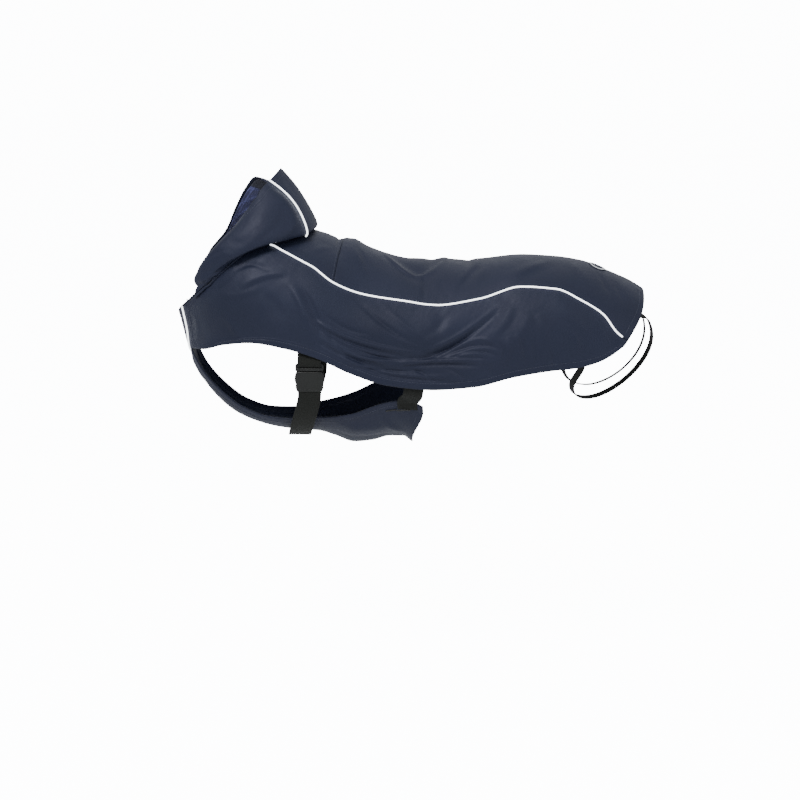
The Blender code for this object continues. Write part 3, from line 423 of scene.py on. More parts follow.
def resampled(run: Array, rows: Array, at: Array) -> Array:
    """The rows at other lengths of their run, on straight lines between them."""
    return np.stack([np.interp(at, run, rows[:, k]) for k in range(3)], axis=-1)


def graded(start: float, end: float, count: int, rim: float = 0.012) -> Array:
    """Even stations from start to end, with three close ones at each end.

    Args:
        start: First station.
        end: Last station.
        count: Number of even stations between the close ones.
        rim: Share of the way that the close stations take.

    Returns:
        The stations in order.
    """
    close = rim * np.array([0.0, 0.25, 0.8])
    even = np.linspace(1.7 * rim, 1 - 1.7 * rim, count)
    return start + (end - start) * np.concatenate([close, even, 1 - close[::-1]])


def crowded(stations: Array, middle: float, spread: float) -> Array:
    """Stations drawn together about a place, to about half their gap.

    Their density is 1 + 1.3 exp(-((s - middle) / spread)^2).

    Args:
        stations: Stations from 0 to 1.
        middle: The place.
        spread: How far the crowd reaches.

    Returns:
        The moved stations.
    """
    fine = np.linspace(0, 1, 2000)
    density = 1 + 1.3 * np.exp(-(((fine - middle) / spread) ** 2))
    share = np.concatenate([[0], np.cumsum((density[1:] + density[:-1]) / 2)])
    return np.interp(stations, share / share[-1], fine)


def crease_height(flat: Array, creases: list[Crease]) -> Array:
    """Height of all creases at flat places.

    A crease's height falls off from its line as exp(-(distance / width)^2), and along
    the line as the 0.7th power of a half sine.

    Args:
        flat: Places on the aspect's flat axes, (n, 2).
        creases: The creases.

    Returns:
        Heights, (n,).
    """
    total = np.zeros(len(flat))
    t = np.linspace(0, 1, CREASE_POINTS)[:, None]
    for crease in creases:
        start, middle, end = (
            np.array(place, float) for place in (crease.start, crease.middle, crease.end)
        )
        handle = 2 * middle - (start + end) / 2
        line = (1 - t) ** 2 * start + 2 * t * (1 - t) * handle + t * t * end
        reach = CREASE_REACH * crease.width
        near = np.all((flat > line.min(0) - reach) & (flat < line.max(0) + reach), axis=1)
        if not near.any():
            continue
        step = np.diff(line, axis=0)
        away = flat[near][:, None] - line[:-1]
        share = np.clip((away * step).sum(-1) / (step**2).sum(-1), 0, 1)
        gap = away - share[..., None] * step
        distance = np.linalg.norm(gap, axis=-1)
        nearest = distance.argmin(axis=1)
        pick = np.arange(len(nearest)), nearest
        way, gap = step[nearest], gap[pick]
        side = np.sign(way[:, 0] * gap[:, 1] - way[:, 1] * gap[:, 0])
        width = crease.width * (1 + crease.lean * side)
        place = (nearest + share[pick]) / len(step)
        taper = np.sin(math.pi * np.clip(place, 0.04, 0.96)) ** 0.7
        total[near] += crease.height * taper * np.exp(-((distance[pick] / width) ** 2))
    return total


def creased(grid: Array, outward: Array, table: CreaseTable) -> Array:
    """The grid moved along its normals by the creases of each aspect that it faces.

    Args:
        grid: Points, (rows, columns, 3).
        outward: Their unit normals.
        table: Rows of creases for each aspect.

    Returns:
        The moved points.
    """
    height = np.zeros(grid.shape[:2])
    for aspect, rows in table.items():
        looks, axes, facing_from, facing_over = aspect.value
        weight = smooth_step((outward @ np.array(looks, float) - facing_from) / facing_over)
        flat = grid[..., list(axes)].reshape(-1, 2)
        creases = [Crease.of(row) for row in rows]
        height += weight * crease_height(flat, creases).reshape(height.shape)
    return grid + outward * height[..., None]


def drape(along: Array, across: Array, size: float) -> Array:
    """Slow uneven swell of hanging cloth: two products of bent sines.

    Args:
        along: Length along the cloth at each point.
        across: Length across it.
        size: Height of the swell.

    Returns:
        Heights.
    """
    slow = np.sin(along / 23 + 1.3 * np.sin(across / 31)) * np.sin(
        across / 27 + 0.8 * np.sin(along / 41 + 0.6)
    )
    quick = np.sin(along / 9.1 + 2.1 * np.sin(across / 17)) * np.sin(
        across / 10.3 + 1.7 * np.sin(along / 19)
    )
    return size * (slow + 0.32 * quick)


# ---------------------------------------------------------------- the worn surfaces


class BodyShell:
    """The surface that the back, the yoke and the two sides are cut from."""

    def __init__(self) -> None:
        """Reads the section table into (section, place, xyz) on the right side."""
        rows = np.array(list(BODY_SECTIONS.values()), float)
        self.controls = np.zeros((len(rows), len(SHARES), 3))
        self.controls[:, 0, ::2] = rows[:, :2]
        self.controls[:, 1:] = rows[:, 2:].reshape(len(rows), -1, 3)
        run = lengths_along(self.controls).mean(axis=1)
        self.section_u = run / run[-1]

    def u_of(self, section: str) -> float:
        """Section number of a named row of the table."""
        return float(self.section_u[list(BODY_SECTIONS).index(section)])

    def plain(self, us: Array, ws: Array) -> Array:
        """Surface with no folds: sections joined lengthways, then splined round.

        Args:
            us: Section numbers.
            ws: Shares round the body.

        Returns:
            Points, (len(us), len(ws), 3).
        """
        flat = self.controls.reshape(len(self.controls), -1)
        rows = harmonic_curve(self.section_u, flat, us).reshape(len(us), -1, 3)
        shares = np.concatenate([-np.array(SHARES[:0:-1]), SHARES])
        result = np.empty((len(us), len(ws), 3))
        for i, row in enumerate(rows):
            ring = np.concatenate([mirrored(row[:0:-1]), row])
            run = lengths_along(ring)
            result[i] = natural_curve(run, ring, np.interp(ws, shares, run))
        return result

    def face(self, us: Array, ws: Array) -> Array:
        """Inner face of the worn shell with all its folds and creases."""
        plain = self.plain(us, ws)
        return creased(plain, normals_of(plain), BODY_CREASES)

    def spot(self, u: float, w: float) -> tuple[Array, Array]:
        """One point of the inner face, taken from a small patch of nine.

        Args:
            u: Section number.
            w: Share round the body.

        Returns:
            The point and its outward normal.
        """
        us = min(max(u - PATCH, 0.0), 1 - 2 * PATCH) + PATCH * np.arange(3)
        ws = min(max(w - PATCH, -1.0), 1 - 2 * PATCH) + PATCH * np.arange(3)
        i, j = int(np.abs(us - u).argmin()), int(np.abs(ws - w).argmin())
        us[i], ws[j] = u, w
        patch = self.face(us, ws)
        return patch[i, j], normals_of(patch)[i, j]

    def inside_spot(self, u: float, w: float, depth: float = STRAP_INSIDE) -> Spot:
        """Centre of a strap that lies inside the shell there, and its facing."""
        point, normal = self.spot(u, w)
        return point - normal * (WEBBING / 2 + depth), normal

    def u_at(self, x: float, w: float) -> float:
        """Section number at which the line w round the body passes x."""
        us = np.linspace(0, 1, 120)
        return float(np.interp(-x, -self.plain(us, np.array([w]))[:, 0, 0], us))


class HoodShell:
    """The open hood: a cup from the neckline over its fold to the rim."""

    def __init__(self, body: BodyShell) -> None:
        """Joins the hood's sections to the body's neckline.

        Args:
            body: The shell that carries the hood.
        """
        rows = np.array(list(HOOD_SECTIONS.values()), float)
        right = rows[:, 1:].reshape(len(rows), 3, 3)
        left = mirrored(right)
        right = right[:-1].copy()
        right[:, 2, ::2] -= np.array(RIGHT_RIM, float)
        face = np.concatenate([left, right[::-1]])
        shares = np.concatenate([-rows[:, 0], rows[-2::-1, 0]])
        self.controls = np.empty((len(face), 5, 3))
        rise = np.array([0, 0, FLOOR_RISE])
        for k, w in enumerate(shares):
            edge, normal = body.spot(1.0, w)
            base = edge + normal * HOOD_LIFT
            self.controls[k, :2] = base, (base + face[k, 0]) / 2 + rise
            self.controls[k, 2:] = face[k]
        self.seam = list(HOOD_SECTIONS).index("seam")
        self.last = len(self.controls) - 1

    def face(self, ss: Array, ts: Array) -> Array:
        """Inner face of the hood.

        Args:
            ss: Sections counted from the left front end.
            ts: Shares of the way from the neckline to the rim.

        Returns:
            Points, (len(ss), len(ts), 3).
        """
        flat = self.controls.reshape(len(self.controls), -1)
        knots = np.arange(len(self.controls))
        rows = harmonic_curve(knots, flat, ss).reshape(len(ss), -1, 3)
        result = np.empty((len(ss), len(ts), 3))
        for i, row in enumerate(rows):
            run = lengths_along(row)
            result[i] = natural_curve(run, row, np.interp(ts, HOOD_SHARES, run))
        return creased(result, -normals_of(result), HOOD_CREASES)


class UnderShell:
    """The chest and belly panel, throat to rear edge; its seam follows the sides."""

    def __init__(self, body: BodyShell) -> None:
        """Lays out centre, midway and edge places, (row, place, xyz).

        Args:
            body: The shell whose sides end at the chest seam.
        """
        seam_us = np.linspace(1.0, body.u_of("corner"), CHEST_SEAM_ROWS)
        seam = body.face(seam_us, np.array([0.99, 1.0]))[:, 1]
        down = lengths_along(seam) / lengths_along(seam)[-1]
        chest = np.array(CHEST_SECTIONS, float)
        belly = np.array(BELLY_SECTIONS, float)
        count = len(seam)
        rows = np.zeros((count + len(belly), 3, 3))
        rows[:count, 0, ::2] = harmonic_curve(chest[:, 0], chest[:, 1:], down)
        rows[:count, 2] = seam
        rows[count:, 0, ::2] = belly[:, :2]
        rows[count:, 2] = belly[:, 2:]
        rows[:, 1] = rows[:, 0] + MIDWAY_RISE * (rows[:, 2] - rows[:, 0])
        rows[:, 1, 1] = MIDWAY_OUT * rows[:, 2, 1]
        self.rows = rows
        self.knots = lengths_along(rows).mean(axis=1)
        self.seam_end = self.knots[count - 1] / self.knots[-1]
        self.strap_v = self.knots[-2] / self.knots[-1]

    def face(self, vs: Array, across: Array) -> Array:
        """Inner face of the panel; its rear edge is waved lengthways.

        Args:
            vs: Shares of the way from the throat to the rear edge.
            across: Shares from the left edge (-1) to the right one (1).

        Returns:
            Points, (len(vs), len(across), 3).
        """
        flat = self.rows.reshape(len(self.rows), -1)
        rows = harmonic_curve(self.knots, flat, vs * self.knots[-1]).reshape(len(vs), 3, 3)
        result = np.empty((len(vs), len(across), 3))
        for i, (centre, midway, edge) in enumerate(rows):
            ring = np.array([mirrored(edge), mirrored(midway), centre, midway, edge])
            run = lengths_along(ring)
            result[i] = natural_curve(run, ring, (across + 1) / 2 * run[-1])
        shares = np.linspace(0, 1, len(REAR_WAVE))
        wave = np.interp(np.abs(across), shares, REAR_WAVE)
        rear = smooth_step((vs - REAR_WAVE_FROM) / (1 - REAR_WAVE_FROM))
        result[..., 0] += rear[:, None] * wave
        return creased(result, normals_of(result), BELLY_CREASES)


# ---------------------------------------------------------------- meshes


def add_piece(
    name: str,
    points: Array,
    faces: Array,
    uv: Array,
    slot: str,
    look: Material,
    rim: Array | None = None,
) -> Object:
    """A smooth mesh piece that rides on the body.

    Args:
        name: The piece's name.
        points: Vertices in millimetres, (n, 3).
        faces: Quads, (m, 4); a triangle repeats its last corner.
        uv: Place of each vertex on the flat cloth, in millimetres, (n, 2).
        slot: The record's material slot; not used.
        look: The piece's material.
        rim: Nearness of each vertex to an edge, 0 to 1.

    Returns:
        The new object.
    """
    faces = np.asarray(faces, np.int64)
    is_quad = faces[:, 2] != faces[:, 3]
    a, b, c, d = np.moveaxis(np.asarray(points, float)[faces], 1, 0)
    volume = np.sum(np.cross(a, b) * c) + np.sum((np.cross(a, c) * d)[is_quad])
    if volume < 0:
        faces = turned(faces)
    totals = np.where(is_quad, 4, 3)
    keep = np.ones(faces.shape, bool)
    keep[:, 3] = is_quad
    corners = faces[keep]
    mesh = bpy.data.meshes.new(name)
    mesh.vertices.add(len(points))
    mesh.vertices.foreach_set("co", (np.asarray(points) * MM).astype(np.float32).ravel())
    mesh.loops.add(len(corners))
    mesh.loops.foreach_set("vertex_index", corners.astype(np.int32))
    mesh.polygons.add(len(faces))
    starts = np.concatenate([[0], np.cumsum(totals)[:-1]])
    mesh.polygons.foreach_set("loop_start", starts.astype(np.int32))
    mesh.polygons.foreach_set("use_smooth", np.ones(len(faces), bool))
    mesh.update(calc_edges=True)
    layer = mesh.uv_layers.new(name="cut")
    layer.data.foreach_set("uv", (np.asarray(uv)[corners] * MM).astype(np.float32).ravel())
    attribute = mesh.attributes.new("rim", "FLOAT", "POINT")
    near = np.zeros(len(points)) if rim is None else rim
    attribute.data.foreach_set("value", near.astype(np.float32))
    mesh.materials.append(look)
    piece = bpy.data.objects.new(name, mesh)
    bpy.context.scene.collection.objects.link(piece)
    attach(piece, ROOT)
    LOG.info("%s: %d faces", name, len(faces))
    return piece


def cap_faces(ring: Array) -> Array:
    """Faces that close an even ring: strips between its two halves.

    Args:
        ring: Vertex numbers in order; the first lies opposite the middle one.

    Returns:
        Quads, (n, 4); the two end triangles repeat their last corner.
    """
    half = len(ring) // 2
    front = ring[: half + 1]
    back = np.concatenate([ring[:1], ring[:half:-1], ring[half : half + 1]])
    faces = np.stack([front[:-1], front[1:], back[1:], back[:-1]], axis=1)
    faces[0, 3] = faces[0, 2]
    faces[-1] = front[-2], front[-1], back[-2], back[-2]
    return faces


def turned(faces: Array) -> Array:
    """The faces the other way round; a triangle still repeats its last corner."""
    is_quad = faces[:, 2] != faces[:, 3]
    return np.where(is_quad[:, None], faces[:, [0, 3, 2, 1]], faces[:, [0, 2, 1, 1]])


def grid_faces(
    rows: int, columns: int, first: int = 0, closed: bool = False, looped: bool = False
) -> Array:
    """Quads of a grid of vertices.

    Args:
        rows: Rows of vertices.
        columns: Columns of vertices.
        first: Number of the first vertex.
        closed: Whether the last column is joined to the first.
        looped: Whether the last row is joined to the first.

    Returns:
        Quads, (n, 4).
    """
    index = first + np.arange(rows * columns).reshape(rows, columns)
    if closed:
        index = np.concatenate([index, index[:, :1]], axis=1)
    if looped:
        index = np.concatenate([index, index[:1]])
    corners = (index[:-1, :-1], index[:-1, 1:], index[1:, 1:], index[1:, :-1])
    return np.stack(corners, axis=-1).reshape(-1, 4)


def stacked(rings: Array) -> tuple[Array, Array]:
    """Rings of points as one closed shape, with a cap at each end.

    Args:
        rings: Points, (count, sides, 3).

    Returns:
        Points, (n, 3), and quads.
    """
    count, sides = rings.shape[:2]
    first, last = np.arange(sides), (count - 1) * sides + np.arange(sides)
    faces = [grid_faces(count, sides, closed=True), turned(cap_faces(first)), cap_faces(last)]
    return rings.reshape(-1, 3), np.concatenate(faces)


def joined(parts: list[Mesh]) -> Mesh:
    """Several meshes as one.

    Args:
        parts: Points, quads and flat places of each.

    Returns:
        Points, quads and flat places of all.
    """
    points, faces, uv = zip(*parts)
    first = np.cumsum([0] + [len(part) for part in points])
    shifted = [part + start for part, start in zip(faces, first)]
    return np.concatenate(points), np.concatenate(shifted), np.concatenate(uv)


def tube(
    centres: Array, radius: Array | float, sides: int, up: Array
) -> Mesh:
    """A round tube along centres, its ends closed by domed rings.

    Args:
        centres: Centre line, (n, 3).
        radius: Radius, one for all or one for each centre.
        sides: Number of sides.
        up: A direction across the line at each centre.

    Returns:
        Points, quads, and flat places of the points.
    """
    along = unit(np.gradient(centres, axis=0))
    across = unit(np.cross(along, up))
    over = np.cross(across, along)
    radius = np.broadcast_to(np.asarray(radius, float), len(centres)).copy()
    dome = 0.75 * radius[0]
    centres = np.concatenate(
        [centres[:1] - along[:1] * dome * s for s in (1.0, 0.7)]
        + [centres]
        + [centres[-1:] + along[-1:] * dome * s for s in (0.7, 1.0)]
    )
    ends = np.concatenate([[0.05, 0.7], np.ones(len(radius)), [0.7, 0.05]])
    radius = ends * np.pad(radius, 2, mode="edge")
    across, over = (np.pad(v, ((2, 2), (0, 0)), mode="edge") for v in (across, over))
    angle = np.linspace(0, 2 * math.pi, sides, endpoint=False)
    cosine, sine = np.cos(angle)[None, :, None], np.sin(angle)[None, :, None]
    ring = cosine * over[:, None] + sine * across[:, None]
    run = lengths_along(centres)
    uv = np.stack(np.broadcast_arrays(run[:, None], angle[None] * radius.max()), axis=-1)
    return *stacked(centres[:, None] + ring * radius[:, None, None]), uv.reshape(-1, 2)


def add_piping(
    node: str, centres: Array, normals: Array, look: Material, sides: int = 14
) -> None:
    """The round cord of one seam, in its node's place.

    Args:
        node: The solid that it replaces.
        centres: Centre line of the cord.
        normals: Way out of the cloth at each centre.
        look: The cord's material.
        sides: Number of sides.
    """
    cord = tube(centres, PIPING_RADIUS, sides, normals)
    piece = add_piece(f"{node}_cord", *cord, "piping", look)
    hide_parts(node)


@dataclass(frozen=True)
class StitchRun:
    """A row of machine stitches: short bent threads that dip at both ends."""

    pitch: float = 3.3
    length: float = 2.5
    thread: float = 0.27
    sides: int = 6

    def mesh(self, path: Array, normals: Array) -> Mesh:
        """All the stitches along a path.

        Args:
            path: Points on the cloth.
            normals: Way out of the cloth at each point.

        Returns:
            Points, quads and flat places.
        """
        run = lengths_along(path)
        count = max(2, int(run[-1] / self.pitch))
        at = (np.arange(count) + 0.5) / count * run[-1]
        centre = resampled(run, path, at)
        normal = unit(resampled(run, normals, at))
        along = unit(np.gradient(centre, axis=0))
        across = unit(np.cross(along, normal))
        share, rise, thickness = np.array(STITCH_PROFILE).T
        radius = self.thread * thickness
        angle = np.linspace(0, 2 * math.pi, self.sides, endpoint=False)
        middle = (
            centre[:, None]
            + along[:, None] * (share * self.length / 2)[None, :, None]
            + normal[:, None] * rise[None, :, None]
        )
        ring = (
            np.cos(angle)[None, None, :, None] * normal[:, None, None]
            + np.sin(angle)[None, None, :, None] * across[:, None, None]
        )
        points = middle[:, :, None] + ring * radius[None, :, None, None]
        _, faces = stacked(points[0])
        each = len(share) * self.sides
        faces = (np.arange(count)[:, None, None] * each + faces[None]).reshape(-1, 4)
        return points.reshape(-1, 3), faces, np.zeros((count * each, 2))


class Edge(Enum):
    """How a panel's border is finished."""

    SEAM = "joined to the next panel"
    HEM = "turned under and topstitched"
    FOLD = "folded over a facing"


Borders = tuple[Edge, Edge, Edge, Edge]


@dataclass
class Panel:
    """One cut piece of cloth: a grid thickened both ways and rounded at its borders.

    borders are those of the first row, last row, first column and last column.
    """

    name: str
    face: Array
    outward: Array
    borders: Borders
    thickness: float = CLOTH
    swell: float = 0.30
    roll: float = 1.7
    hem_depth: float = 11.0
    hem_stitch: float = 8.6
    hem_slope: float = 1.8
    mask: Array | None = None
    away: list[Array] = field(default_factory=list)

    def __post_init__(self) -> None:
        """Measures each vertex's way to the borders, then adds swell and puckers."""
        down, over = lengths_along(self.face, 0), lengths_along(self.face, 1)
        self.away = [down, down[-1:] - down, over, over[:, -1:] - over]
        beside = [over, over, down, down]
        height = drape(down, over, self.swell)
        for kind, d, s in zip(self.borders, self.away, beside):
            if kind is Edge.SEAM:
                pucker = np.sin(s / 2.1 + 1.6 * np.sin(s / 11)) + 0.5 * np.sin(s / 3.4 + 1)
                height = height + 0.15 * np.exp(-d / 6.5) * pucker
            else:
                wave = np.sin(s / 3.1 + 1.8 * np.sin(s / 17))
                height = height + 0.16 * np.exp(-((d - self.hem_stitch) ** 2) / 30) * wave
        free = smooth_step(np.min(self.away, axis=0) / STILL_BORDER)
        self.middle = self.face + self.outward * (self.thickness / 2 + height * free)[..., None]

    def facing(self) -> Array:
        """Unit normals of the middle layer, towards the outer side."""
        normal = normals_of(self.middle)
        return normal * np.sign((normal * self.outward).sum(-1, keepdims=True))

    def offsets(self) -> tuple[Array, Array]:
        """Way out to the outer face and in to the inner face.

        Both follow a quarter circle to 0 at a border. A hem is a little thicker for its
        depth, and dented along its stitches.

        Returns:
            The two ways at every vertex.
        """
        nearest = np.min(self.away, axis=0)
        round_edge = np.sqrt(1 - (1 - np.clip(nearest / self.roll, 0, 1)) ** 2)
        out = np.full(nearest.shape, self.thickness / 2)
        inside = out.copy()
        for kind, d in zip(self.borders, self.away):
            doubled = 1 - smooth_step((d - self.hem_depth) / self.hem_slope)
            dent = np.exp(-(((d - self.hem_stitch) / STITCH_DENT) ** 2))
            if kind is Edge.HEM:
                out += 0.35 * doubled - 0.38 * dent
                inside += 0.9 * doubled - 0.2 * dent
            elif kind is Edge.FOLD:
                out += 0.2 * doubled - 0.3 * dent
        return out * round_edge, inside * round_edge

    def build(self, slot: str, look: Material) -> Object:
        """The closed mesh: outer and inner grids that share their border.

        Args:
            slot: The record's material slot.
            look: The panel's material.

        Returns:
            The new piece.
        """
        rows, columns = self.middle.shape[:2]
        normal = self.facing()
        out, inside = self.offsets()
        count = rows * columns
        outer = self.middle + normal * out[..., None]
        inner = self.middle - normal * inside[..., None]
        index = np.arange(count).reshape(rows, columns)
        inner_index = index + count
        for border in (np.s_[0], np.s_[-1], np.s_[:, 0], np.s_[:, -1]):
            inner_index[border] = index[border]
        lookup = np.concatenate([index.ravel(), inner_index.ravel()])
        inner_faces = turned(lookup[grid_faces(rows, columns, count)])
        faces = np.concatenate([grid_faces(rows, columns), inner_faces])
        points = np.concatenate([outer.reshape(-1, 3), inner.reshape(-1, 3)])
        used, faces = np.unique(faces, return_inverse=True)
        uv = np.stack([self.away[0], -self.away[3]], axis=-1).reshape(-1, 2)
        uv = np.concatenate([uv, uv])[used]
        # Rim values: nearness to the borders, or the given mask. Coated cloth paints shade and worn
        # spots where they are high; the check lining puts its plain strip there.
        rim = np.exp(-np.min(self.away, axis=0) / 3) if self.mask is None else self.mask
        rim = np.concatenate([rim.ravel(), rim.ravel()])[used]
        return add_piece(self.name, points[used], faces.reshape(-1, 4), uv, slot, look, rim)

    def place(self, node: str, look: Material, flat: Flat, area: float) -> None:
        """Builds the panel in its node's place.

        Args:
            node: The solid that it replaces.
            look: The panel's material.
            flat: Its width and length when flat, in metres; not used.
            area: Its area, in square metres; not used.
        """
        piece = self.build("cloth", look)
        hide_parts(node)

    def line(self, border: int, distance: float) -> tuple[Array, Array]:
        """The outer face along one border, at a distance in from it, and its normals.

        Args:
            border: 0 first row, 1 last row, 2 first column, 3 last column.
            distance: Way in from the border.

        Returns:
            Points and unit normals.
        """
        axis = 0 if border < 2 else 1
        away = np.moveaxis(self.away[border], axis, 0)
        out, _ = self.offsets()
        normal = self.facing()
        outer = np.moveaxis(self.middle + normal * out[..., None], axis, 0)
        normal = np.moveaxis(normal, axis, 0)
        line = np.arange(away.shape[1])
        low = np.minimum(np.abs(away - distance).argmin(axis=0), len(away) - 2)
        passed = (away[low, line] - distance) * (away[low + 1, line] - distance) > 0
        low = np.clip(np.where(passed, low - 1, low), 0, len(away) - 2)
        a, b = away[low, line], away[low + 1, line]
        share = np.clip((distance - a) / np.where(b == a, 1, b - a), 0, 1)[:, None]
        points = outer[low, line] * (1 - share) + outer[low + 1, line] * share
        return points, unit(normal[low, line] * (1 - share) + normal[low + 1, line] * share)

    def stitches(self, border: int, start: int, end: int, distance: float | None = None) -> Mesh:
        """A row of stitches along one border.

        Args:
            border: The border's number, as for line.
            start: Places of the line left out at its start.
            end: Places of the line left out at its end.
            distance: Way in from the border; the hem's own if it isn't given.

        Returns:
            Points, quads and flat places.
        """
        path, normals = self.line(border, self.hem_stitch if distance is None else distance)
        return StitchRun().mesh(path[start:-end], normals[start:-end])


@dataclass(frozen=True)
class Strap:
    """A woven strap: a flat loop of profile carried along a path."""

    width: float
    thickness: float = WEBBING
    columns: int = 12
    spacing: float = 1.6

    def mesh(self, centres: Array, facing: Array) -> Mesh:
        """The strap; its profile is a flat oval, fuller at its sides.

        Args:
            centres: Places that its middle passes.
            facing: Way out of its outer face at each place.

        Returns:
            Points, quads and flat places.
        """
        run = lengths_along(centres)
        at = np.linspace(0, run[-1], max(4, int(run[-1] / self.spacing)))
        path = natural_curve(run, centres, at)
        face = unit(harmonic_curve(run, facing, at))
        along = unit(np.gradient(path, axis=0))
        across = unit(np.cross(along, face))
        face = np.cross(across, along)
        share = np.linspace(-1, 1, self.columns)
        edge = np.array([0.985, 1.0, 0.985])
        top = np.stack([share * 0.965, np.full(self.columns, 0.5) + 0.10 * share**8], axis=-1)
        side = np.stack([edge, np.array([0.3, 0.0, -0.3])], axis=-1)
        profile = np.concatenate([top, side, top[::-1] * [1, -1], side[::-1] * [-1, 1]])
        profile = np.roll(profile, 2, axis=0)
        x, y = profile[:, 0] * self.width / 2, profile[:, 1] * self.thickness
        points = (
            path[:, None] + across[:, None] * x[None, :, None] + face[:, None] * y[None, :, None]
        )
        uv = np.stack(np.broadcast_arrays(at[:, None], x[None]), axis=-1).reshape(-1, 2)
        return *stacked(points), uv


# ---------------------------------------------------------------- finishes


def opaque(colour: Colour, scale: float = 1.0, lift: float = 0.0) -> tuple[float, ...]:
    """The colour scaled and lifted, with full alpha."""
    return (*(scale * part + lift for part in colour), 1)


class Graph:
    """Adds nodes to a tree and links them, left to right."""

    def __init__(self, tree: NodeTree) -> None:
        """Starts on a tree with nothing added yet."""
        self.tree = tree
        self.count = 0

    def fill(self, node: Node, inputs: Inputs) -> None:
        """Sets a node's inputs to values, or links them to sockets.

        Args:
            node: The node.
            inputs: Input name or number to a value or a socket.
        """
        for key, value in inputs.items():
            if isinstance(value, NodeSocket):
                self.tree.links.new(value, node.inputs[key])
            else:
                node.inputs[key].default_value = value

    def add(self, kind: str, inputs: Inputs | None = None, **settings: object) -> Node:
        """A node with its inputs set to values or linked to sockets.

        Args:
            kind: Node type, without the word ShaderNode.
            inputs: Input name or number to a value or a socket.
            settings: Properties of the node.

        Returns:
            The node.
        """
        node = self.tree.nodes.new(kind if kind.startswith("Node") else "ShaderNode" + kind)
        node.location = (180 * (self.count % 12), -220 * (self.count // 12))
        self.count += 1
        for key, value in settings.items():
            setattr(node, key, value)
        self.fill(node, inputs or {})
        return node

    def math(self, operation: str, *values: Value, clamp: bool = False) -> NodeSocket:
        """Output of a Math node on values or sockets."""
        node = self.add("Math", dict(enumerate(values)), operation=operation, use_clamp=clamp)
        return node.outputs[0]

    def mix(self, share: Value, low: Value, high: Value) -> NodeSocket:
        """Colour between two colours."""
        node = self.add("Mix", {0: share, 6: low, 7: high}, data_type="RGBA")
        return node.outputs[2]

    def ramp(
        self, value: Value, low: float, high: float, to_low: float = 0.0, to_high: float = 1.0
    ) -> NodeSocket:
        """Value from one range carried to another and held there."""
        ends = {0: value, 1: low, 2: high, 3: to_low, 4: to_high}
        return self.add("MapRange", ends, clamp=True).outputs[0]

    def noise(self, place: Value, scale: Value, detail: float = 1.0) -> Node:
        """A noise texture at a place."""
        return self.add("TexNoise", {"Vector": place, "Scale": scale, "Detail": detail})


class Surface(Graph):
    """The graph of a new material, with its shader."""

    def __init__(self, name: str, colour: Colour, roughness: float) -> None:
        """Makes the material and sets its shader's plain values.

        Args:
            name: The material's name.
            colour: Its plain colour.
            roughness: Its plain roughness.
        """
        self.material = bpy.data.materials.new(name)
        self.material.use_nodes = True
        self.material.diffuse_color = opaque(colour)
        super().__init__(self.material.node_tree)
        self.shader = self.tree.nodes["Principled BSDF"]
        self.shade({"Base Color": opaque(colour), "Roughness": roughness})

    def shade(self, inputs: Inputs) -> None:
        """Sets or links inputs of the shader."""
        self.fill(self.shader, inputs)

    def cut_place(self) -> NodeSocket:
        """Place on the flat cloth, in metres."""
        return self.add("UVMap", uv_map="cut").outputs[0]

    def own_place(self) -> NodeSocket:
        """Place on the object itself, in metres."""
        return self.add("TexCoord").outputs["Object"]

    def rim(self) -> NodeSocket:
        """The piece's rim attribute."""
        return self.add("Attribute", attribute_name="rim").outputs["Fac"]

    def shared(self, tree: NodeTree, inputs: Inputs) -> Node:
        """One of the shared groups, placed in the material."""
        return self.add("Group", inputs, node_tree=tree)

    def bump(self, height: NodeSocket, strength: float, distance: float) -> None:
        """Bends the shader's normal by a height."""
        node = self.add("Bump", {"Height": height, "Strength": strength, "Distance": distance})
        self.shade({"Normal": node.outputs[0]})


class Group(Graph):
    """The graph of a new node group, with its inputs and its output node."""

    def __init__(
        self, name: str, inputs: dict[str, float | None], outputs: tuple[str, ...]
    ) -> None:
        """Makes the group and its sockets.

        Args:
            name: The group's name.
            inputs: Input name to default: a number, or None for a vector.
            outputs: Names of the float outputs.
        """
        super().__init__(bpy.data.node_groups.new(name, "ShaderNodeTree"))
        for key, value in inputs.items():
            kind = "NodeSocketVector" if value is None else "NodeSocketFloat"
            socket = self.tree.interface.new_socket(key, in_out="INPUT", socket_type=kind)
            if value is not None:
                socket.default_value = value
        for key in outputs:
            self.tree.interface.new_socket(key, in_out="OUTPUT", socket_type="NodeSocketFloat")
        self.source = self.add("NodeGroupInput").outputs
        self.sink = self.add("NodeGroupOutput")


def weave_group() -> NodeTree:
    """Plain weave: over and under threads as sines of the flat place, in turn.

    Returns:
        The group, which puts out a height and an uneven shade.
    """
    inputs = {"Place": None, "Threads per metre": 1600.0}
    g = Group("plain weave", inputs, ("Height", "Shade"))
    parts = g.add("SeparateXYZ", {0: g.source["Place"]})
    turns = g.math("MULTIPLY", g.source["Threads per metre"], math.pi)
    warp = g.math("SINE", g.math("MULTIPLY", parts.outputs[0], turns))
    weft = g.math("SINE", g.math("MULTIPLY", parts.outputs[1], turns))
    both = g.math("MULTIPLY", warp, weft)
    slub = g.noise(g.source["Place"], 900.0)
    height = g.math("MULTIPLY_ADD", both, 0.5, 0.5)
    g.fill(g.sink, {"Height": height, "Shade": slub.outputs[0]})
    return g.tree


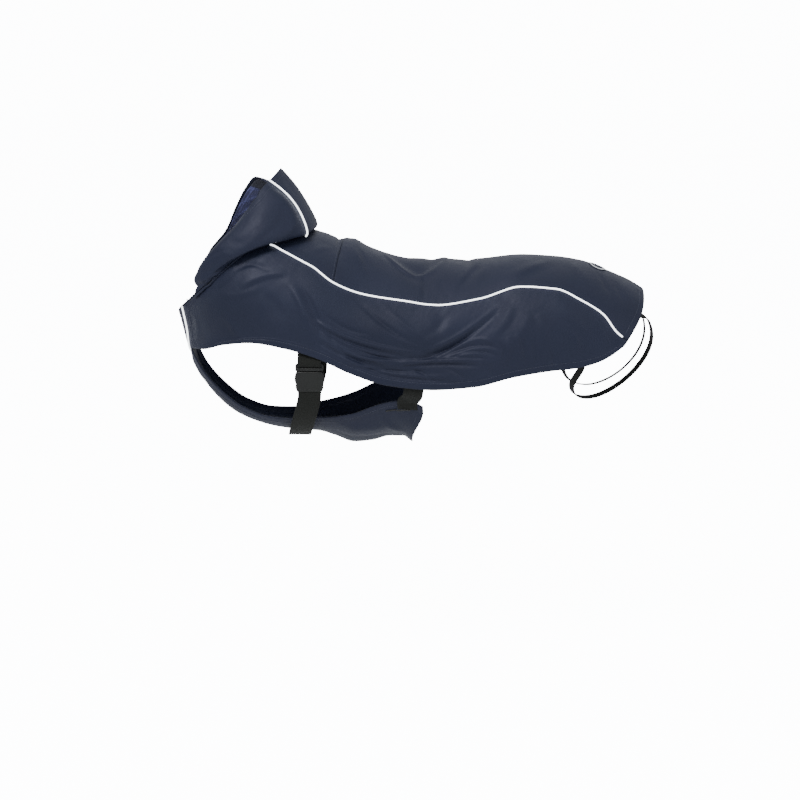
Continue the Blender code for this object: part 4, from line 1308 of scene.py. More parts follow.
def crinkle_group() -> NodeTree:
    """Fine soft crinkle of coated cloth: ridged noise at two sizes, bent by a third.

    Returns:
        The group, which puts out a height and a slow tone.
    """
    inputs = {"Place": None, "Size per metre": 60.0}
    g = Group("crinkle", inputs, ("Height", "Tone"))
    place, size = g.source["Place"], g.source["Size per metre"]
    bend = g.noise(place, 24.0, 2.0)
    moved = g.add("VectorMath", {0: bend.outputs["Color"], "Scale": 0.03}, operation="SCALE")
    at = g.add("VectorMath", {0: place, 1: moved.outputs[0]}, operation="ADD")
    large = g.noise(at.outputs[0], size, 3.0)
    ridge = g.math("ABSOLUTE", g.math("SUBTRACT", large.outputs[0], 0.5))
    fine = g.noise(place, g.math("MULTIPLY", size, 3.7), 2.0)
    height = g.math("MULTIPLY_ADD", fine.outputs[0], 0.35, g.math("SUBTRACT", 1.0, ridge))
    slow = g.noise(place, 7.0, 3.0)
    g.fill(g.sink, {"Height": height, "Tone": slow.outputs[0]})
    return g.tree


@dataclass(frozen=True)
class CoatedCloth:
    """Smooth coated rain cloth: soft crinkle, fine weave, slow tone, painted shade along its rims,
    worn spots.
    """

    name: str
    colour: Colour
    roughness: float
    crinkles: float = 46.0
    threads: float = 1500.0
    # Share by which painted shade darkens the rims, towards 0.45 of the colour.
    edge_shade: float = 0.42
    wear: float = 0.35
    gloss: float = 0.18
    gloss_tint: Colour = (0.86, 0.86, 1.0)
    sheen: float = 0.02
    sheen_tint: Colour = (0.62, 0.68, 0.85)

    def material(self, weave: NodeTree, crinkle: NodeTree) -> Material:
        """Builds the material.

        Args:
            weave: The shared weave group.
            crinkle: The shared crinkle group.

        Returns:
            The material.
        """
        s = Surface(self.name, self.colour, self.roughness)
        place = s.cut_place()
        folds = s.shared(crinkle, {"Place": place, "Size per metre": self.crinkles}).outputs
        cloth = s.shared(weave, {"Place": place, "Threads per metre": self.threads}).outputs
        rim = s.rim()
        tone = s.ramp(folds["Tone"], 0.3, 0.7)
        base = s.mix(tone, opaque(self.colour, 0.86), opaque(self.colour, 1.12))
        # Painted shade: the colour darkens where the rim values are high, along the borders where
        # seams and hems meet.
        edge_shade_share = s.ramp(rim, 0.45, 0.95, 0.0, self.edge_shade)
        edge_shade = s.mix(edge_shade_share, base, opaque(self.colour, 0.45))
        wear = s.ramp(cloth["Shade"], 0.52, 0.72, 0.0, self.wear)
        worn = s.mix(s.math("MULTIPLY", rim, wear), edge_shade, opaque(self.colour, 1.8, 0.004))
        low, high = self.roughness - 0.06, self.roughness + 0.08
        rough = s.ramp(folds["Height"], 0.7, 1.3, low, high)
        s.shade({"Base Color": worn, "Roughness": rough})
        s.bump(s.math("MULTIPLY_ADD", cloth["Height"], 0.10, folds["Height"]), 0.4, 0.0011)
        s.shade({
            "Specular IOR Level": self.gloss,
            "Specular Tint": opaque(self.gloss_tint),
            "Sheen Weight": self.sheen,
            "Sheen Roughness": 0.45,
            "Sheen Tint": opaque(self.sheen_tint),
        })
        return s.material


@dataclass(frozen=True)
class CheckLining:
    """Blue woven check: wide dark bands and thin pale lines both ways."""

    name: str = "blue check lining"
    base: Colour = (0.026, 0.029, 0.098)
    dark: Colour = (0.0085, 0.0100, 0.030)
    pale: Colour = (0.10, 0.11, 0.29)
    strip: Colour = (0.0070, 0.0086, 0.0215)
    repeat: float = 0.026
    wide: float = 0.009
    thin: float = 0.0011
    finest: float = 0.0006
    roughness: float = 0.82

    def band(
        self, s: Surface, at: NodeSocket, repeat: float, offset: float, width: float
    ) -> NodeSocket:
        """1 within a band's width and 0 outside it, repeated along one axis.

        Args:
            s: The material's graph.
            at: Place along the axis.
            repeat: Way from one band to the next.
            offset: Share of a repeat by which the bands are moved.
            width: Width of a band.

        Returns:
            The mask.
        """
        turn = s.math("FRACT", s.math("MULTIPLY_ADD", at, 1 / repeat, offset))
        gap = s.math("ABSOLUTE", s.math("SUBTRACT", turn, 0.5))
        return s.ramp(gap, width / repeat / 2, width / repeat / 2 + 0.012, 1.0, 0.0)

    def material(self, weave: NodeTree) -> Material:
        """Builds the material; the rim attribute marks the plain middle strip.

        Args:
            weave: The shared weave group.

        Returns:
            The material.
        """
        s = Surface(self.name, self.base, self.roughness)
        place = s.cut_place()
        x, y, _ = s.add("SeparateXYZ", {0: place}).outputs
        cloth = s.shared(weave, {"Place": place, "Threads per metre": 900.0}).outputs
        repeat, tenth = self.repeat, self.repeat / 10
        across = self.band(s, x, repeat, 0.0, self.wide)
        wide = s.math("ADD", across, self.band(s, y, repeat, 0.2, self.wide))
        across = self.band(s, x, repeat, 0.5, self.thin)
        thin = s.math("MAXIMUM", across, self.band(s, y, repeat, 0.7, self.thin))
        thin = s.math("MAXIMUM", thin, self.band(s, x, repeat, 0.38, 0.0007))
        across = self.band(s, x, tenth, 0.0, self.finest)
        fine = s.math("MAXIMUM", across, self.band(s, y, tenth, 0.0, self.finest))
        thin = s.math("MAXIMUM", thin, s.math("MULTIPLY", fine, 0.35))
        colour = s.mix(s.math("MULTIPLY", wide, 0.5), opaque(self.base), opaque(self.dark))
        colour = s.mix(s.math("MULTIPLY", thin, 0.8), colour, opaque(self.pale))
        colour = s.mix(s.rim(), colour, opaque(self.strip))
        shade = s.ramp(cloth["Shade"], 0.3, 0.7, 0.88, 1.12)
        tinted = s.add("VectorMath", {0: colour, "Scale": shade}, operation="SCALE")
        s.shade({"Base Color": tinted.outputs[0]})
        s.bump(cloth["Height"], 0.5, 0.0002)
        s.shade({"Sheen Weight": 0.25, "Sheen Roughness": 0.5})
        return s.material


@dataclass(frozen=True)
class ReflectiveCord:
    """Pale reflective piping: fine glass-bead grain, greyer where it is handled, and a painted glow
    from emission.
    """

    name: str = "reflective piping"
    colour: Colour = (0.90, 0.92, 0.95)
    handled: Colour = (0.62, 0.66, 0.72)
    # Colour and strength of the painted glow, emission that brightens the cord beyond its lighting.
    glow: Colour = (0.93, 0.97, 1.0)
    painted_glow_strength: float = 2.2
    roughness: float = 0.36

    def material(self) -> Material:
        """Builds the material.

        Returns:
            The material.
        """
        s = Surface(self.name, self.colour, self.roughness)
        place = s.cut_place()
        grain = s.noise(place, 2600.0).outputs[0]
        slow = s.noise(place, 90.0, 3.0).outputs[0]
        dull = s.ramp(slow, 0.45, 0.75, 0.0, 0.35)
        s.shade({"Base Color": s.mix(dull, opaque(self.colour), opaque(self.handled))})
        s.shade({"Roughness": s.ramp(grain, 0.3, 0.7, 0.28, 0.46)})
        s.bump(grain, 0.3, 0.0001)
        # Painted glow: emission makes the cord brighter than the lamps alone would light it.
        s.shade({"Emission Color": opaque(self.glow), "Emission Strength": self.painted_glow_strength})
        return s.material


@dataclass(frozen=True)
class Webbing:
    """Webbing: ribs along the strap crossed by slanted picks that turn at each rib."""

    name: str
    colour: Colour
    ribs: float
    roughness: float

    def material(self) -> Material:
        """Builds the material.

        Returns:
            The material.
        """
        s = Surface(self.name, self.colour, self.roughness)
        place = s.cut_place()
        x, y, _ = s.add("SeparateXYZ", {0: place}).outputs
        turn = s.math("PINGPONG", s.math("MULTIPLY", y, self.ribs), 1.0)
        slant = s.math("MULTIPLY_ADD", x, 1.15 * self.ribs, s.math("MULTIPLY", turn, 1.3))
        wave = s.math("SINE", s.math("MULTIPLY", slant, 2 * math.pi))
        pick = s.math("MULTIPLY_ADD", wave, 0.5, 0.5)
        valley = s.math("ABSOLUTE", s.math("SUBTRACT", turn, 0.5))
        height = s.math("MULTIPLY_ADD", pick, 0.5, s.ramp(valley, 0.1, 0.5, 1.0, 0.0))
        fuzz = s.noise(place, 1400.0, 2.0).outputs[0]
        tone = s.math("MULTIPLY_ADD", fuzz, 0.5, s.math("MULTIPLY", pick, 0.3))
        s.shade({"Base Color": s.mix(tone, opaque(self.colour, 0.6), opaque(self.colour, 1.9))})
        s.bump(height, 0.8, 0.0004)
        s.shade({"Sheen Weight": 0.03, "Specular IOR Level": 0.12})
        return s.material


@dataclass(frozen=True)
class Thread:
    """Thread: one colour with a little grain from the object's own places."""

    name: str
    colour: Colour
    roughness: float = 0.6

    def material(self) -> Material:
        """Builds the material.

        Returns:
            The material.
        """
        s = Surface(self.name, self.colour, self.roughness)
        grain = s.noise(s.own_place(), 3000.0).outputs[0]
        s.shade({"Base Color": s.mix(grain, opaque(self.colour, 0.75), opaque(self.colour, 1.25))})
        return s.material


@dataclass(frozen=True)
class MouldedPlastic:
    """Black moulded plastic: fine spark-eroded grain, slightly polished by use."""

    name: str = "moulded plastic"
    colour: Colour = (0.0046, 0.0052, 0.0050)
    polished: Colour = (0.0070, 0.0076, 0.0073)
    roughness: float = 0.42
    gloss: float = 0.24

    def material(self) -> Material:
        """Builds the material.

        Returns:
            The material.
        """
        s = Surface(self.name, self.colour, self.roughness)
        place = s.own_place()
        grain = s.noise(place, 2200.0, 2.0).outputs[0]
        slow = s.noise(place, 120.0, 3.0).outputs[0]
        s.shade({"Roughness": s.ramp(slow, 0.35, 0.65, 0.34, 0.5)})
        s.shade({"Base Color": s.mix(slow, opaque(self.colour), opaque(self.polished))})
        s.bump(grain, 0.35, 0.0001)
        s.shade({"Specular IOR Level": self.gloss})
        return s.material


@dataclass(frozen=True)
class ReflectiveFilm:
    """Grey reflective film with a fine bead grain."""

    name: str = "reflective film"
    colour: Colour = (0.50, 0.52, 0.54)
    low: Colour = (0.44, 0.46, 0.48)
    high: Colour = (0.62, 0.64, 0.66)
    roughness: float = 0.35
    metal: float = 0.25

    def material(self) -> Material:
        """Builds the material.

        Returns:
            The material.
        """
        s = Surface(self.name, self.colour, self.roughness)
        grain = s.noise(s.own_place(), 2400.0).outputs[0]
        s.shade({"Base Color": s.mix(grain, opaque(self.low), opaque(self.high))})
        s.shade({"Metallic": self.metal})
        return s.material


class Looks:
    """Every material of the coat, made once."""

    def __init__(self) -> None:
        """Builds the shared groups and then the materials."""
        weave, crinkle = weave_group(), crinkle_group()
        cloth = CoatedCloth("navy coated cloth", (0.0082, 0.0104, 0.0218), 0.47)
        facing = CoatedCloth("navy facing", (0.0080, 0.0100, 0.0205), 0.56)
        self.cloth = cloth.material(weave, crinkle)
        self.facing = facing.material(weave, crinkle)
        self.lining = CheckLining().material(weave)
        self.piping = ReflectiveCord().material()
        self.webbing = Webbing("black webbing", (0.0070, 0.0076, 0.0068), 560.0, 0.78).material()
        self.elastic = Webbing("black elastic", (0.0060, 0.0064, 0.0062), 760.0, 0.7).material()
        self.thread = Thread("navy thread", (0.020, 0.024, 0.045)).material()
        self.dark_thread = Thread("black thread", (0.012, 0.012, 0.012)).material()
        self.plastic = MouldedPlastic().material()
        self.mark = ReflectiveFilm().material()


# ---------------------------------------------------------------- the coat's pieces


@dataclass
class BodyPanels:
    """Back, yoke and sides, with the piping in the long seams."""

    shell: BodyShell
    looks: Looks
    long_rows: int = 300
    side_columns: int = 112
    back_columns: int = 124
    yoke_rows: int = 60
    seam_inset: float = 3.0
    piping_lift: float = 2.9
    piping_from: float = 0.018
    piping_to: float = 0.962

    def build(self) -> None:
        """Makes every panel, its stitches and the two long pipings."""
        looks = self.looks
        yoke = self.shell.u_of("yoke")
        seam, hem = Edge.SEAM, Edge.HEM
        threads = []
        us = crowded(graded(0, 1, self.long_rows, 0.004), 0.5, 0.2)
        for side, sign in SIDES:
            ws = graded(sign, sign * SEAM, self.side_columns)
            panel = self.panel(f"side_panel_{side}_cloth", us, ws, (hem, seam, hem, seam))
            panel.place(f"side_panel_{side}", looks.cloth, (0.2, 0.67), 0.0646)
            threads.append(panel.stitches(2, 6, 20))
            self.piping(side, sign)
        ws = graded(-SEAM, SEAM, self.back_columns, 0.008)
        us = graded(0, yoke, self.long_rows - 2 * self.yoke_rows, 0.005)
        back = self.panel("back_panel_cloth", us, ws, (hem, seam, seam, seam))
        back.place("back_panel", looks.cloth, (0.22, 0.42), 0.0768)
        threads.append(back.stitches(0, 5, 5))
        us = graded(yoke, 1, self.yoke_rows, 0.016)
        front = self.panel("back_yoke_cloth", us, ws, (seam, seam, seam, seam))
        front.place("back_yoke", looks.cloth, (0.194, 0.11), 0.0131)
        threads.append(front.stitches(0, 3, 3, self.seam_inset))
        add_piece("body_stitches", *joined(threads), "cloth", looks.thread)

    def panel(self, name: str, us: Array, ws: Array, borders: Borders) -> Panel:
        """A stretch of the shell as a panel.

        Args:
            name: The panel's name.
            us: Its section numbers.
            ws: Its shares round the body.
            borders: How its four borders are finished.

        Returns:
            The panel.
        """
        outward = normals_of(self.shell.plain(us, ws))
        if ws[0] > ws[-1]:
            outward = -outward
        return Panel(name, self.shell.face(us, ws), outward, borders)

    def piping(self, side: str, sign: int) -> None:
        """The cord in one long seam, which sinks a little where the cloth puckers.

        Args:
            side: The side's name.
            sign: -1 on the left, 1 on the right.
        """
        us = np.linspace(0, 1, 361)
        grid = self.shell.face(us, np.sort(sign * np.array([SEAM - 0.01, SEAM, SEAM + 0.01])))
        normals = normals_of(grid)[:, 1]
        run = lengths_along(grid[:, 1])
        wave = 0.12 * np.sin(run / 7 + 2 * np.sin(run / 23))
        centres = grid[:, 1] + normals * (self.piping_lift + wave)[:, None]
        keep = (us > self.piping_from) & (us < self.piping_to)
        add_piping(f"body_piping_{side}", centres[keep], normals[keep], self.looks.piping)


@dataclass
class HoodPieces:
    """Two hood sides, the gusset, the check lining, its facing and the piping."""

    shell: HoodShell
    body: BodyShell
    looks: Looks
    side_rows: int = 120
    gusset_rows: int = 56
    columns: int = 92
    piping_lift: float = 3.1
    neck_share: float = 0.848
    neck_lift: float = 2.3
    neck_radius: float = 1.2
    plain_strip: float = 2.72
    lining_gap: float = 1.6
    facing_gap: float = 0.4
    facing_thickness: float = 0.6

    def build(self) -> None:
        """Makes the hood."""
        shell, looks = self.shell, self.looks
        seam, fold = Edge.SEAM, Edge.FOLD
        threads = []
        ts = graded(0, 1, self.columns)
        left, right = shell.seam, shell.last - shell.seam
        rows = self.side_rows
        cuts = (
            ("hood_side_left", (0, left, rows), (fold, seam), (0.122, 0.196), 0.0128),
            ("hood_gusset", (left, right, self.gusset_rows), (seam, seam), (0.097, 0.12), 0.0092),
            ("hood_side_right", (right, shell.last, rows), (seam, fold), (0.129, 0.196), 0.0138),
        )
        for name, stations, ends, flat, area in cuts:
            face = shell.face(graded(*stations), ts)
            panel = Panel(f"{name}_cloth", face, -normals_of(face), (*ends, seam, fold))
            panel.place(name, looks.cloth, flat, area)
            threads.append(panel.stitches(3, 3, 3))
        add_piece("hood_stitches", *joined(threads), "cloth", looks.thread)
        self.line_hood()
        self.neck_seam()
        for side, s in (("left", left), ("right", right)):
            self.piping(side, s)

    def neck_seam(self) -> None:
        """The rolled seam that joins the hood's foot to the neckline."""
        ws = np.linspace(-self.neck_share, self.neck_share, 240)
        grid = self.body.face(np.array([0.993, 0.9968, 1.0]), ws)
        normals = normals_of(grid)[1]
        run = lengths_along(grid[1])
        wave = 0.1 * np.sin(run / 5 + 2 * np.sin(run / 19))
        front = smooth_step((np.abs(ws) - 0.72) / 0.06)
        centres = grid[1] + normals * (self.neck_lift + wave + 0.9 * front)[:, None]
        roll = tube(centres, self.neck_radius + 0.5 * front, 12, normals)
        add_piece("neck_seam_roll", *roll, "cloth", self.looks.cloth)

    def line_hood(self) -> None:
        """The check lining, and the plain facing between it and the rim."""
        ss = graded(0.02, self.shell.last - 0.02, 2 * self.side_rows + self.gusset_rows, 0.002)
        gap = CLEARANCE + self.lining_gap
        lining = self.inner("hood_lining_check", ss, graded(0.06, 0.966, 74), gap, LINING)
        piece = lining.build("lining", self.looks.lining)
        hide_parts("hood_lining")
        gap = CLEARANCE + self.facing_gap
        ts = graded(0.874, 0.990, 16, 0.05)
        facing = self.inner("hood_facing", ss, ts, gap, self.facing_thickness)
        piece = facing.build("cloth", self.looks.facing)

    def inner(
        self, name: str, ss: Array, ts: Array, gap: float, thickness: float
    ) -> Panel:
        """A layer inside the hood, with the plain middle strip as its rim values.

        Args:
            name: The panel's name.
            ss: Sections of the hood.
            ts: Shares of the way from the neckline to the rim.
            gap: Way in from the hood's inner face.
            thickness: The layer's thickness.

        Returns:
            The panel.
        """
        face = self.shell.face(ss, ts)
        outward = -normals_of(face)
        strip = 1 - smooth_step((np.abs(ss - self.shell.last / 2) - self.plain_strip) / 0.06)
        mask = np.repeat(strip[:, None], len(ts), axis=1)
        borders = (Edge.SEAM, Edge.SEAM, Edge.SEAM, Edge.SEAM)
        face = face - outward * gap
        return Panel(name, face, outward, borders, thickness, swell=0.12, roll=0.8, mask=mask)

    def piping(self, side: str, s: float) -> None:
        """The cord in one gusset seam, from the fold to the rim.

        Args:
            side: The side's name.
            s: Section at which the seam lies.
        """
        ts = np.linspace(HOOD_SHARES[2], 1, 90)
        grid = self.shell.face(np.array([s - 0.04, s, s + 0.04]), ts)
        normals = -normals_of(grid)[1]
        centres = grid[1] + normals * self.piping_lift
        add_piping(f"hood_piping_{side}", centres, normals, self.looks.piping)


@dataclass
class ChestBelly:
    """The long panel from the throat to the belly, and the piping of its two seams."""

    shell: UnderShell
    body: BodyShell
    looks: Looks
    rows: int = 200
    columns: int = 90
    piping_lift: float = 3.0

    def build(self) -> None:
        """Makes the panel, its stitches and its pipings."""
        vs = graded(0, 1, self.rows, 0.005)
        face = self.shell.face(vs, graded(-1, 1, self.columns))
        panel = Panel(
            "chest_belly_cloth",
            face,
            normals_of(face),
            (Edge.HEM, Edge.HEM, Edge.HEM, Edge.HEM),
            hem_stitch=7.5,
            hem_depth=9.5,
        )
        panel.place("chest_belly_panel", self.looks.cloth, (0.231, 0.421), 0.0479)
        first = int(np.searchsorted(vs, self.shell.seam_end)) + 2
        threads = [panel.stitches(border, first, 6) for border in (2, 3)]
        threads += [panel.stitches(border, 10, 10) for border in (0, 1)]
        add_piece("belly_stitches", *joined(threads), "cloth", self.looks.thread)
        for side, sign in SIDES:
            self.piping(side, sign)

    def piping(self, side: str, sign: int) -> None:
        """The cord in one chest seam.

        Args:
            side: The side's name.
            sign: -1 on the left, 1 on the right.
        """
        us = np.linspace(self.body.u_of("corner"), 1, 60)
        grid = self.body.face(us, np.sort(sign * np.array([0.98, 0.99, 1.0])))
        edge = 0 if sign < 0 else -1
        out = unit(normals_of(grid)[:, edge] + np.array([-1.0, 0, -0.25]))
        centres = grid[:, edge] + out * self.piping_lift
        add_piping(f"chest_piping_{side}", centres, out, self.looks.piping, sides=12)


def buckle_axes(sign: int) -> tuple[Array, Array, Array]:
    """A buckle's middle and its two leaning axes.

    Args:
        sign: -1 on the left, 1 on the right.

    Returns:
        The middle, the way out of its face, and the way up along its strap.
    """
    x, out, z = BUCKLE_MIDDLE
    outward = np.array([0, sign * math.cos(BUCKLE_LEAN), -math.sin(BUCKLE_LEAN)])
    up = np.array([0, sign * math.sin(BUCKLE_LEAN), math.cos(BUCKLE_LEAN)])
    return np.array([x, sign * out, z]), outward, up


@dataclass
class Straps:
    """Girth strap, belly straps and leg loops."""

    body: BodyShell
    under: UnderShell
    looks: Looks
    girth_width: float = 30.0
    girth_depth: float = 4.0
    belly_width: float = 26.0
    belly_x: float = 18.0
    belly_gap: float = 1.0
    elastic_width: float = 9.0
    elastic_x: float = 236.0
    plug_bar: float = 20.5
    socket_bar: float = -10.5
    bar_radius: float = 4.0

    def build(self) -> None:
        """Makes every strap."""
        self.girth()
        self.belly()
        self.leg_loops()

    def bar_loop(self, sign: int, bar: float, way: int) -> tuple[Array, Array]:
        """Webbing round a buckle's bar, front layer to back layer.

        Args:
            sign: -1 on the left, 1 on the right.
            bar: Height of the bar above the buckle's middle.
            way: 1 if the strap leaves upwards, -1 if downwards.

        Returns:
            Centres of the strap, and the way out of its outer face.
        """
        middle, outward, up = buckle_axes(sign)
        along, share, angle = np.array(BAR_LOOP).T[..., None]
        tilt = np.radians(angle)
        points = middle + up * (bar + way * along) + outward * (share * self.bar_radius)
        return points, outward * np.cos(tilt) - up * (way * np.sin(tilt))

    def girth(self) -> None:
        """Upper straps and the strap that passes under the chest."""
        strap = Strap(self.girth_width)
        loops = []
        for side, sign in SIDES:
            hidden = []
            for w in (0.82, 0.90, 0.985):
                u = self.body.u_at(BUCKLE_MIDDLE[0], sign * w)
                hidden.append(self.body.inside_spot(u, sign * w, self.girth_depth))
            points, facing = self.bar_loop(sign, self.plug_bar, 1)
            centres = np.concatenate([[spot for spot, _ in hidden], points[1:]])
            facing = np.concatenate([[normal for _, normal in hidden], facing[1:]])
            self.add(f"girth_strap_{side}", strap, centres, facing, self.looks.webbing)
            loops.append(self.bar_loop(sign, self.socket_bar, -1))
        (left, left_facing), (right, right_facing) = loops
        run = np.array(UNDER_CHEST, float)
        run = np.concatenate([left[:1], mirrored(run), run[-2::-1], right[:1]])
        knots = lengths_along(run)
        run = natural_curve(knots, run, np.linspace(0, knots[-1], 23)[1:-1])
        outward = unit((run - CHEST_CENTRE) * [0, 1, 1])
        centres = np.concatenate([left[::-1], run, right])
        facing = np.concatenate([left_facing[::-1], outward, right_facing])
        self.add("girth_strap_lower", strap, centres, facing, self.looks.webbing)

    def belly(self) -> None:
        """Straps from inside the hem to the belly panel's rear corners."""
        strap = Strap(self.belly_width)
        u = self.body.u_at(self.belly_x, 1.0)
        land = self.under.strap_v + np.array([-0.01, 0, 0.01])
        for side, sign in SIDES:
            flip = np.array([1, sign, 1])
            path = [self.body.inside_spot(u, sign * w) for w in (0.90, 0.985)]
            for place in BELLY_STRAP_RUN:
                path.append((np.array(place[:3]) * flip, np.array([0.0, *place[3:]]) * flip))
            row = self.under.face(land, sign * np.array([0.875, 0.925, 0.98]))
            normals = normals_of(row)[1] * sign
            for k in (2, 1, 0):
                lift = CLOTH + WEBBING / 2 + self.belly_gap
                path.append((row[1, k] + normals[k] * lift, normals[k]))
            centres, facing = (np.array(column) for column in zip(*path))
            self.add(f"belly_strap_{side}", strap, centres, facing, self.looks.webbing)
            self.tack(side, sign)

    def tack(self, side: str, sign: int) -> None:
        """Two close rows of stitches across the strap's end, run on along the panel.

        Args:
            side: The side's name.
            sign: -1 on the left, 1 on the right.
        """
        middle = self.under.strap_v
        vs = np.linspace(middle - 0.061, middle + 0.008, 30)
        tight = StitchRun(pitch=1.25, length=1.5, thread=0.42)
        rows = []
        for share in (0.868, 0.877):
            grid = self.under.face(vs, sign * np.array([share - 0.01, share, share + 0.01]))
            normals = normals_of(grid)[:, 1] * sign
            on_strap = smooth_step((grid[:, 1, 0] + 6.0) / 3.0)
            lift = CLOTH + 0.45 + on_strap * (WEBBING + self.belly_gap + 0.05)
            rows.append(tight.mesh(grid[:, 1] + normals * lift[:, None], normals))
        add_piece(f"belly_tack_{side}", *joined(rows), "webbing", self.looks.dark_thread)

    def leg_loops(self) -> None:
        """Thin elastic loops round the thighs."""
        strap = Strap(self.elastic_width, columns=8)
        hem = self.body.u_at(self.elastic_x, 1.0)
        for side, sign in SIDES:
            flip = np.array([1, sign, 1])
            run = np.array(LEG_LOOP_RUN, float) * flip
            path = [self.body.inside_spot(u, sign * 0.25) for u in (0.05, 0.01)]
            path += list(zip(run, unit(run - np.array(LEG_LOOP_CENTRE) * flip)))
            path += [self.body.inside_spot(hem, sign * w) for w in (0.985, 0.90)]
            centres, facing = (np.array(column) for column in zip(*path))
            self.add(f"leg_loop_{side}", strap, centres, facing, self.looks.elastic)

    def add(
        self,
        node: str,
        strap: Strap,
        centres: Array,
        facing: Array,
        look: Material,
    ) -> None:
        """One strap as a piece in its node's place.

        Args:
            node: The solid that it replaces.
            strap: The strap's size.
            centres: Places that its middle passes.
            facing: Way out of its outer face at each place.
            look: Its material.
        """
        piece = add_piece(f"{node}_web", *strap.mesh(centres, facing), "webbing", look)
        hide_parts(node)


@dataclass
class Buckle:
    """A side-release buckle: a socket with open sides, and the plug fastened in it.

    The rows of the two profiles are height, half width and half depth.
    """

    sign: int
    looks: Looks
    sides: int = 96
    groove_at: float = 13.6
    window: tuple[float, float] = (-2.4, 5.6)
    bar: float = 16.6
    bar_radius: float = 1.5
    bar_corner: float = 2.4
    button_foot: float = -1.7
    button_height: float = 6.6
    button_at: float = 18.0
    socket_rows: Rows = (
        (-6.6, 15.5, 4.95), (-12.6, 15.7, 4.95), (-13.5, 15.9, 5.1), (-13.9, 16.3, 5.5),
        (-13.6, 16.7, 5.95), (-12.8, 16.9, 6.15), (-11.8, 16.95, 6.1), (-11.2, 16.9, 5.75),
        (-10.9, 16.9, 5.55), (-9.6, 17.0, 5.5), (-7.0, 17.2, 5.4), (-4.6, 17.7, 5.25),
        (-2.4, 18.4, 5.1), (-0.6, 19.0, 4.95), (1.4, 19.4, 4.85), (3.4, 19.4, 4.75),
        (5.4, 19.1, 4.65), (7.4, 18.6, 4.55), (9.4, 17.9, 4.4), (11.0, 17.2, 4.25),
        (12.2, 16.3, 3.8), (12.5, 15.9, 3.35), (12.45, 15.5, 3.0), (12.0, 15.3, 2.85),
        (9.0, 15.2, 2.8), (4.5, 15.2, 2.8),
    )
    plug_rows: Rows = (
        (12.9, 16.6, 1.9), (13.0, 17.3, 2.4), (13.4, 17.8, 2.75), (14.0, 18.0, 2.85),
        (16.4, 18.0, 2.85), (17.0, 17.85, 2.7), (17.4, 17.4, 2.3), (17.5, 16.7, 1.8),
    )

    def build(self, side: str) -> None:
        """Makes the socket and the plug, each with its webbing bar.

        Args:
            side: The side's name.
        """
        socket = self.loft(self.socket_rows, 4.5)
        self.relieve(socket)
        parts = [self.closed(socket), self.frame(-6.0, -12.4)]
        parts += [self.button(way) for way in (-1, 1)]
        piece = self.place(f"socket_{side}_moulding", parts)
        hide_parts(f"buckle_socket_{side}")
        parts = [self.closed(self.loft(self.plug_rows, 4.0)), self.frame(15.8, 21.8)]
        parts += [self.rib(z) for z in (14.2, 16.2)]
        piece = self.place(f"plug_{side}_moulding", parts)
        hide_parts(f"buckle_plug_{side}")

    def loft(self, rows: Rows, power: float) -> Array:
        """Rings |x/a|^n + |y/b|^n = 1 up the buckle.

        Args:
            rows: Height, half width a and half depth b of each ring.
            power: The power n.

        Returns:
            Places across, out and up, (row, side, 3).
        """
        z, a, b = np.array(rows, float).T[..., None]
        fine = np.linspace(0, 2 * math.pi, 4001)
        cosine, sine = np.abs(np.cos(fine)), np.abs(np.sin(fine))
        radius = ((cosine / a.max()) ** power + (sine / b.max()) ** power) ** (-1 / power)
        outline = np.stack([radius * np.cos(fine), radius * np.sin(fine)], axis=-1)
        run = lengths_along(outline)
        angle = np.interp(np.arange(self.sides) / self.sides * run[-1], run, fine)
        cosine, sine = np.cos(angle), np.sin(angle)
        radius = ((np.abs(cosine) / a) ** power + (np.abs(sine) / b) ** power) ** (-1 / power)
        height = np.broadcast_to(z, radius.shape)
        return np.stack([radius * cosine, radius * sine, height], axis=-1)

    def relieve(self, rings: Array) -> None:
        """Sinks the socket's face grooves, its middle panel and its side windows.

        Args:
            rings: The socket's rings, which are moved.
        """
        x, y, z = np.moveaxis(rings, -1, 0)
        count = np.arange(len(rings))[:, None]
        outside = (count > 4) & (count < 21)
        on_face = outside & (np.abs(y) > 3.4)
        tall = smooth_step((z + 9.6) / 0.8) * smooth_step((11.4 - z) / 0.8)
        groove = np.exp(-(((np.abs(x) - self.groove_at) / 0.55) ** 2))
        panel = smooth_step((self.groove_at - 1.2 - np.abs(x)) / 0.8) * 0.28
        y -= np.sign(y) * on_face * tall * (0.5 * groove + panel)
        low, high = self.window
        open_z = smooth_step((z - low) / 0.7) * smooth_step((high - z) / 0.7)
        open_y = smooth_step((2.5 - np.abs(y)) / 0.5)
        x -= np.sign(x) * outside * (np.abs(x) > 15) * open_z * open_y * 0.9

    def closed(self, rings: Array) -> Mesh:
        """The stack of rings as one closed shape."""
        return *stacked(rings), rings.reshape(-1, 3)[:, ::2].copy()

    def frame(self, start: float, end: float) -> Mesh:
        """Two arms and a bar round the webbing's slot, as one tube with round corners.

        Args:
            start: Height at which the arms start.
            end: Height of the bar.

        Returns:
            Points, quads and flat places.
        """
        way, corner = math.copysign(1, end - start), self.bar_corner
        turn = np.linspace(0, math.pi / 2, 9)[::-1]
        x = self.bar - corner + corner * np.sin(turn)
        z = end - way * (corner - corner * np.cos(turn))
        right = np.stack([np.append(self.bar, x), np.append(start, z)], axis=-1)
        flat = np.concatenate([right, right[::-1] * [-1, 1]])
        path = np.stack([flat[:, 0], np.zeros(len(flat)), flat[:, 1]], axis=-1)
        run = lengths_along(path)
        path = resampled(run, path, np.linspace(0, run[-1], 60))
        return tube(path, self.bar_radius, 12, np.tile([0.0, 1.0, 0.0], (len(path), 1)))

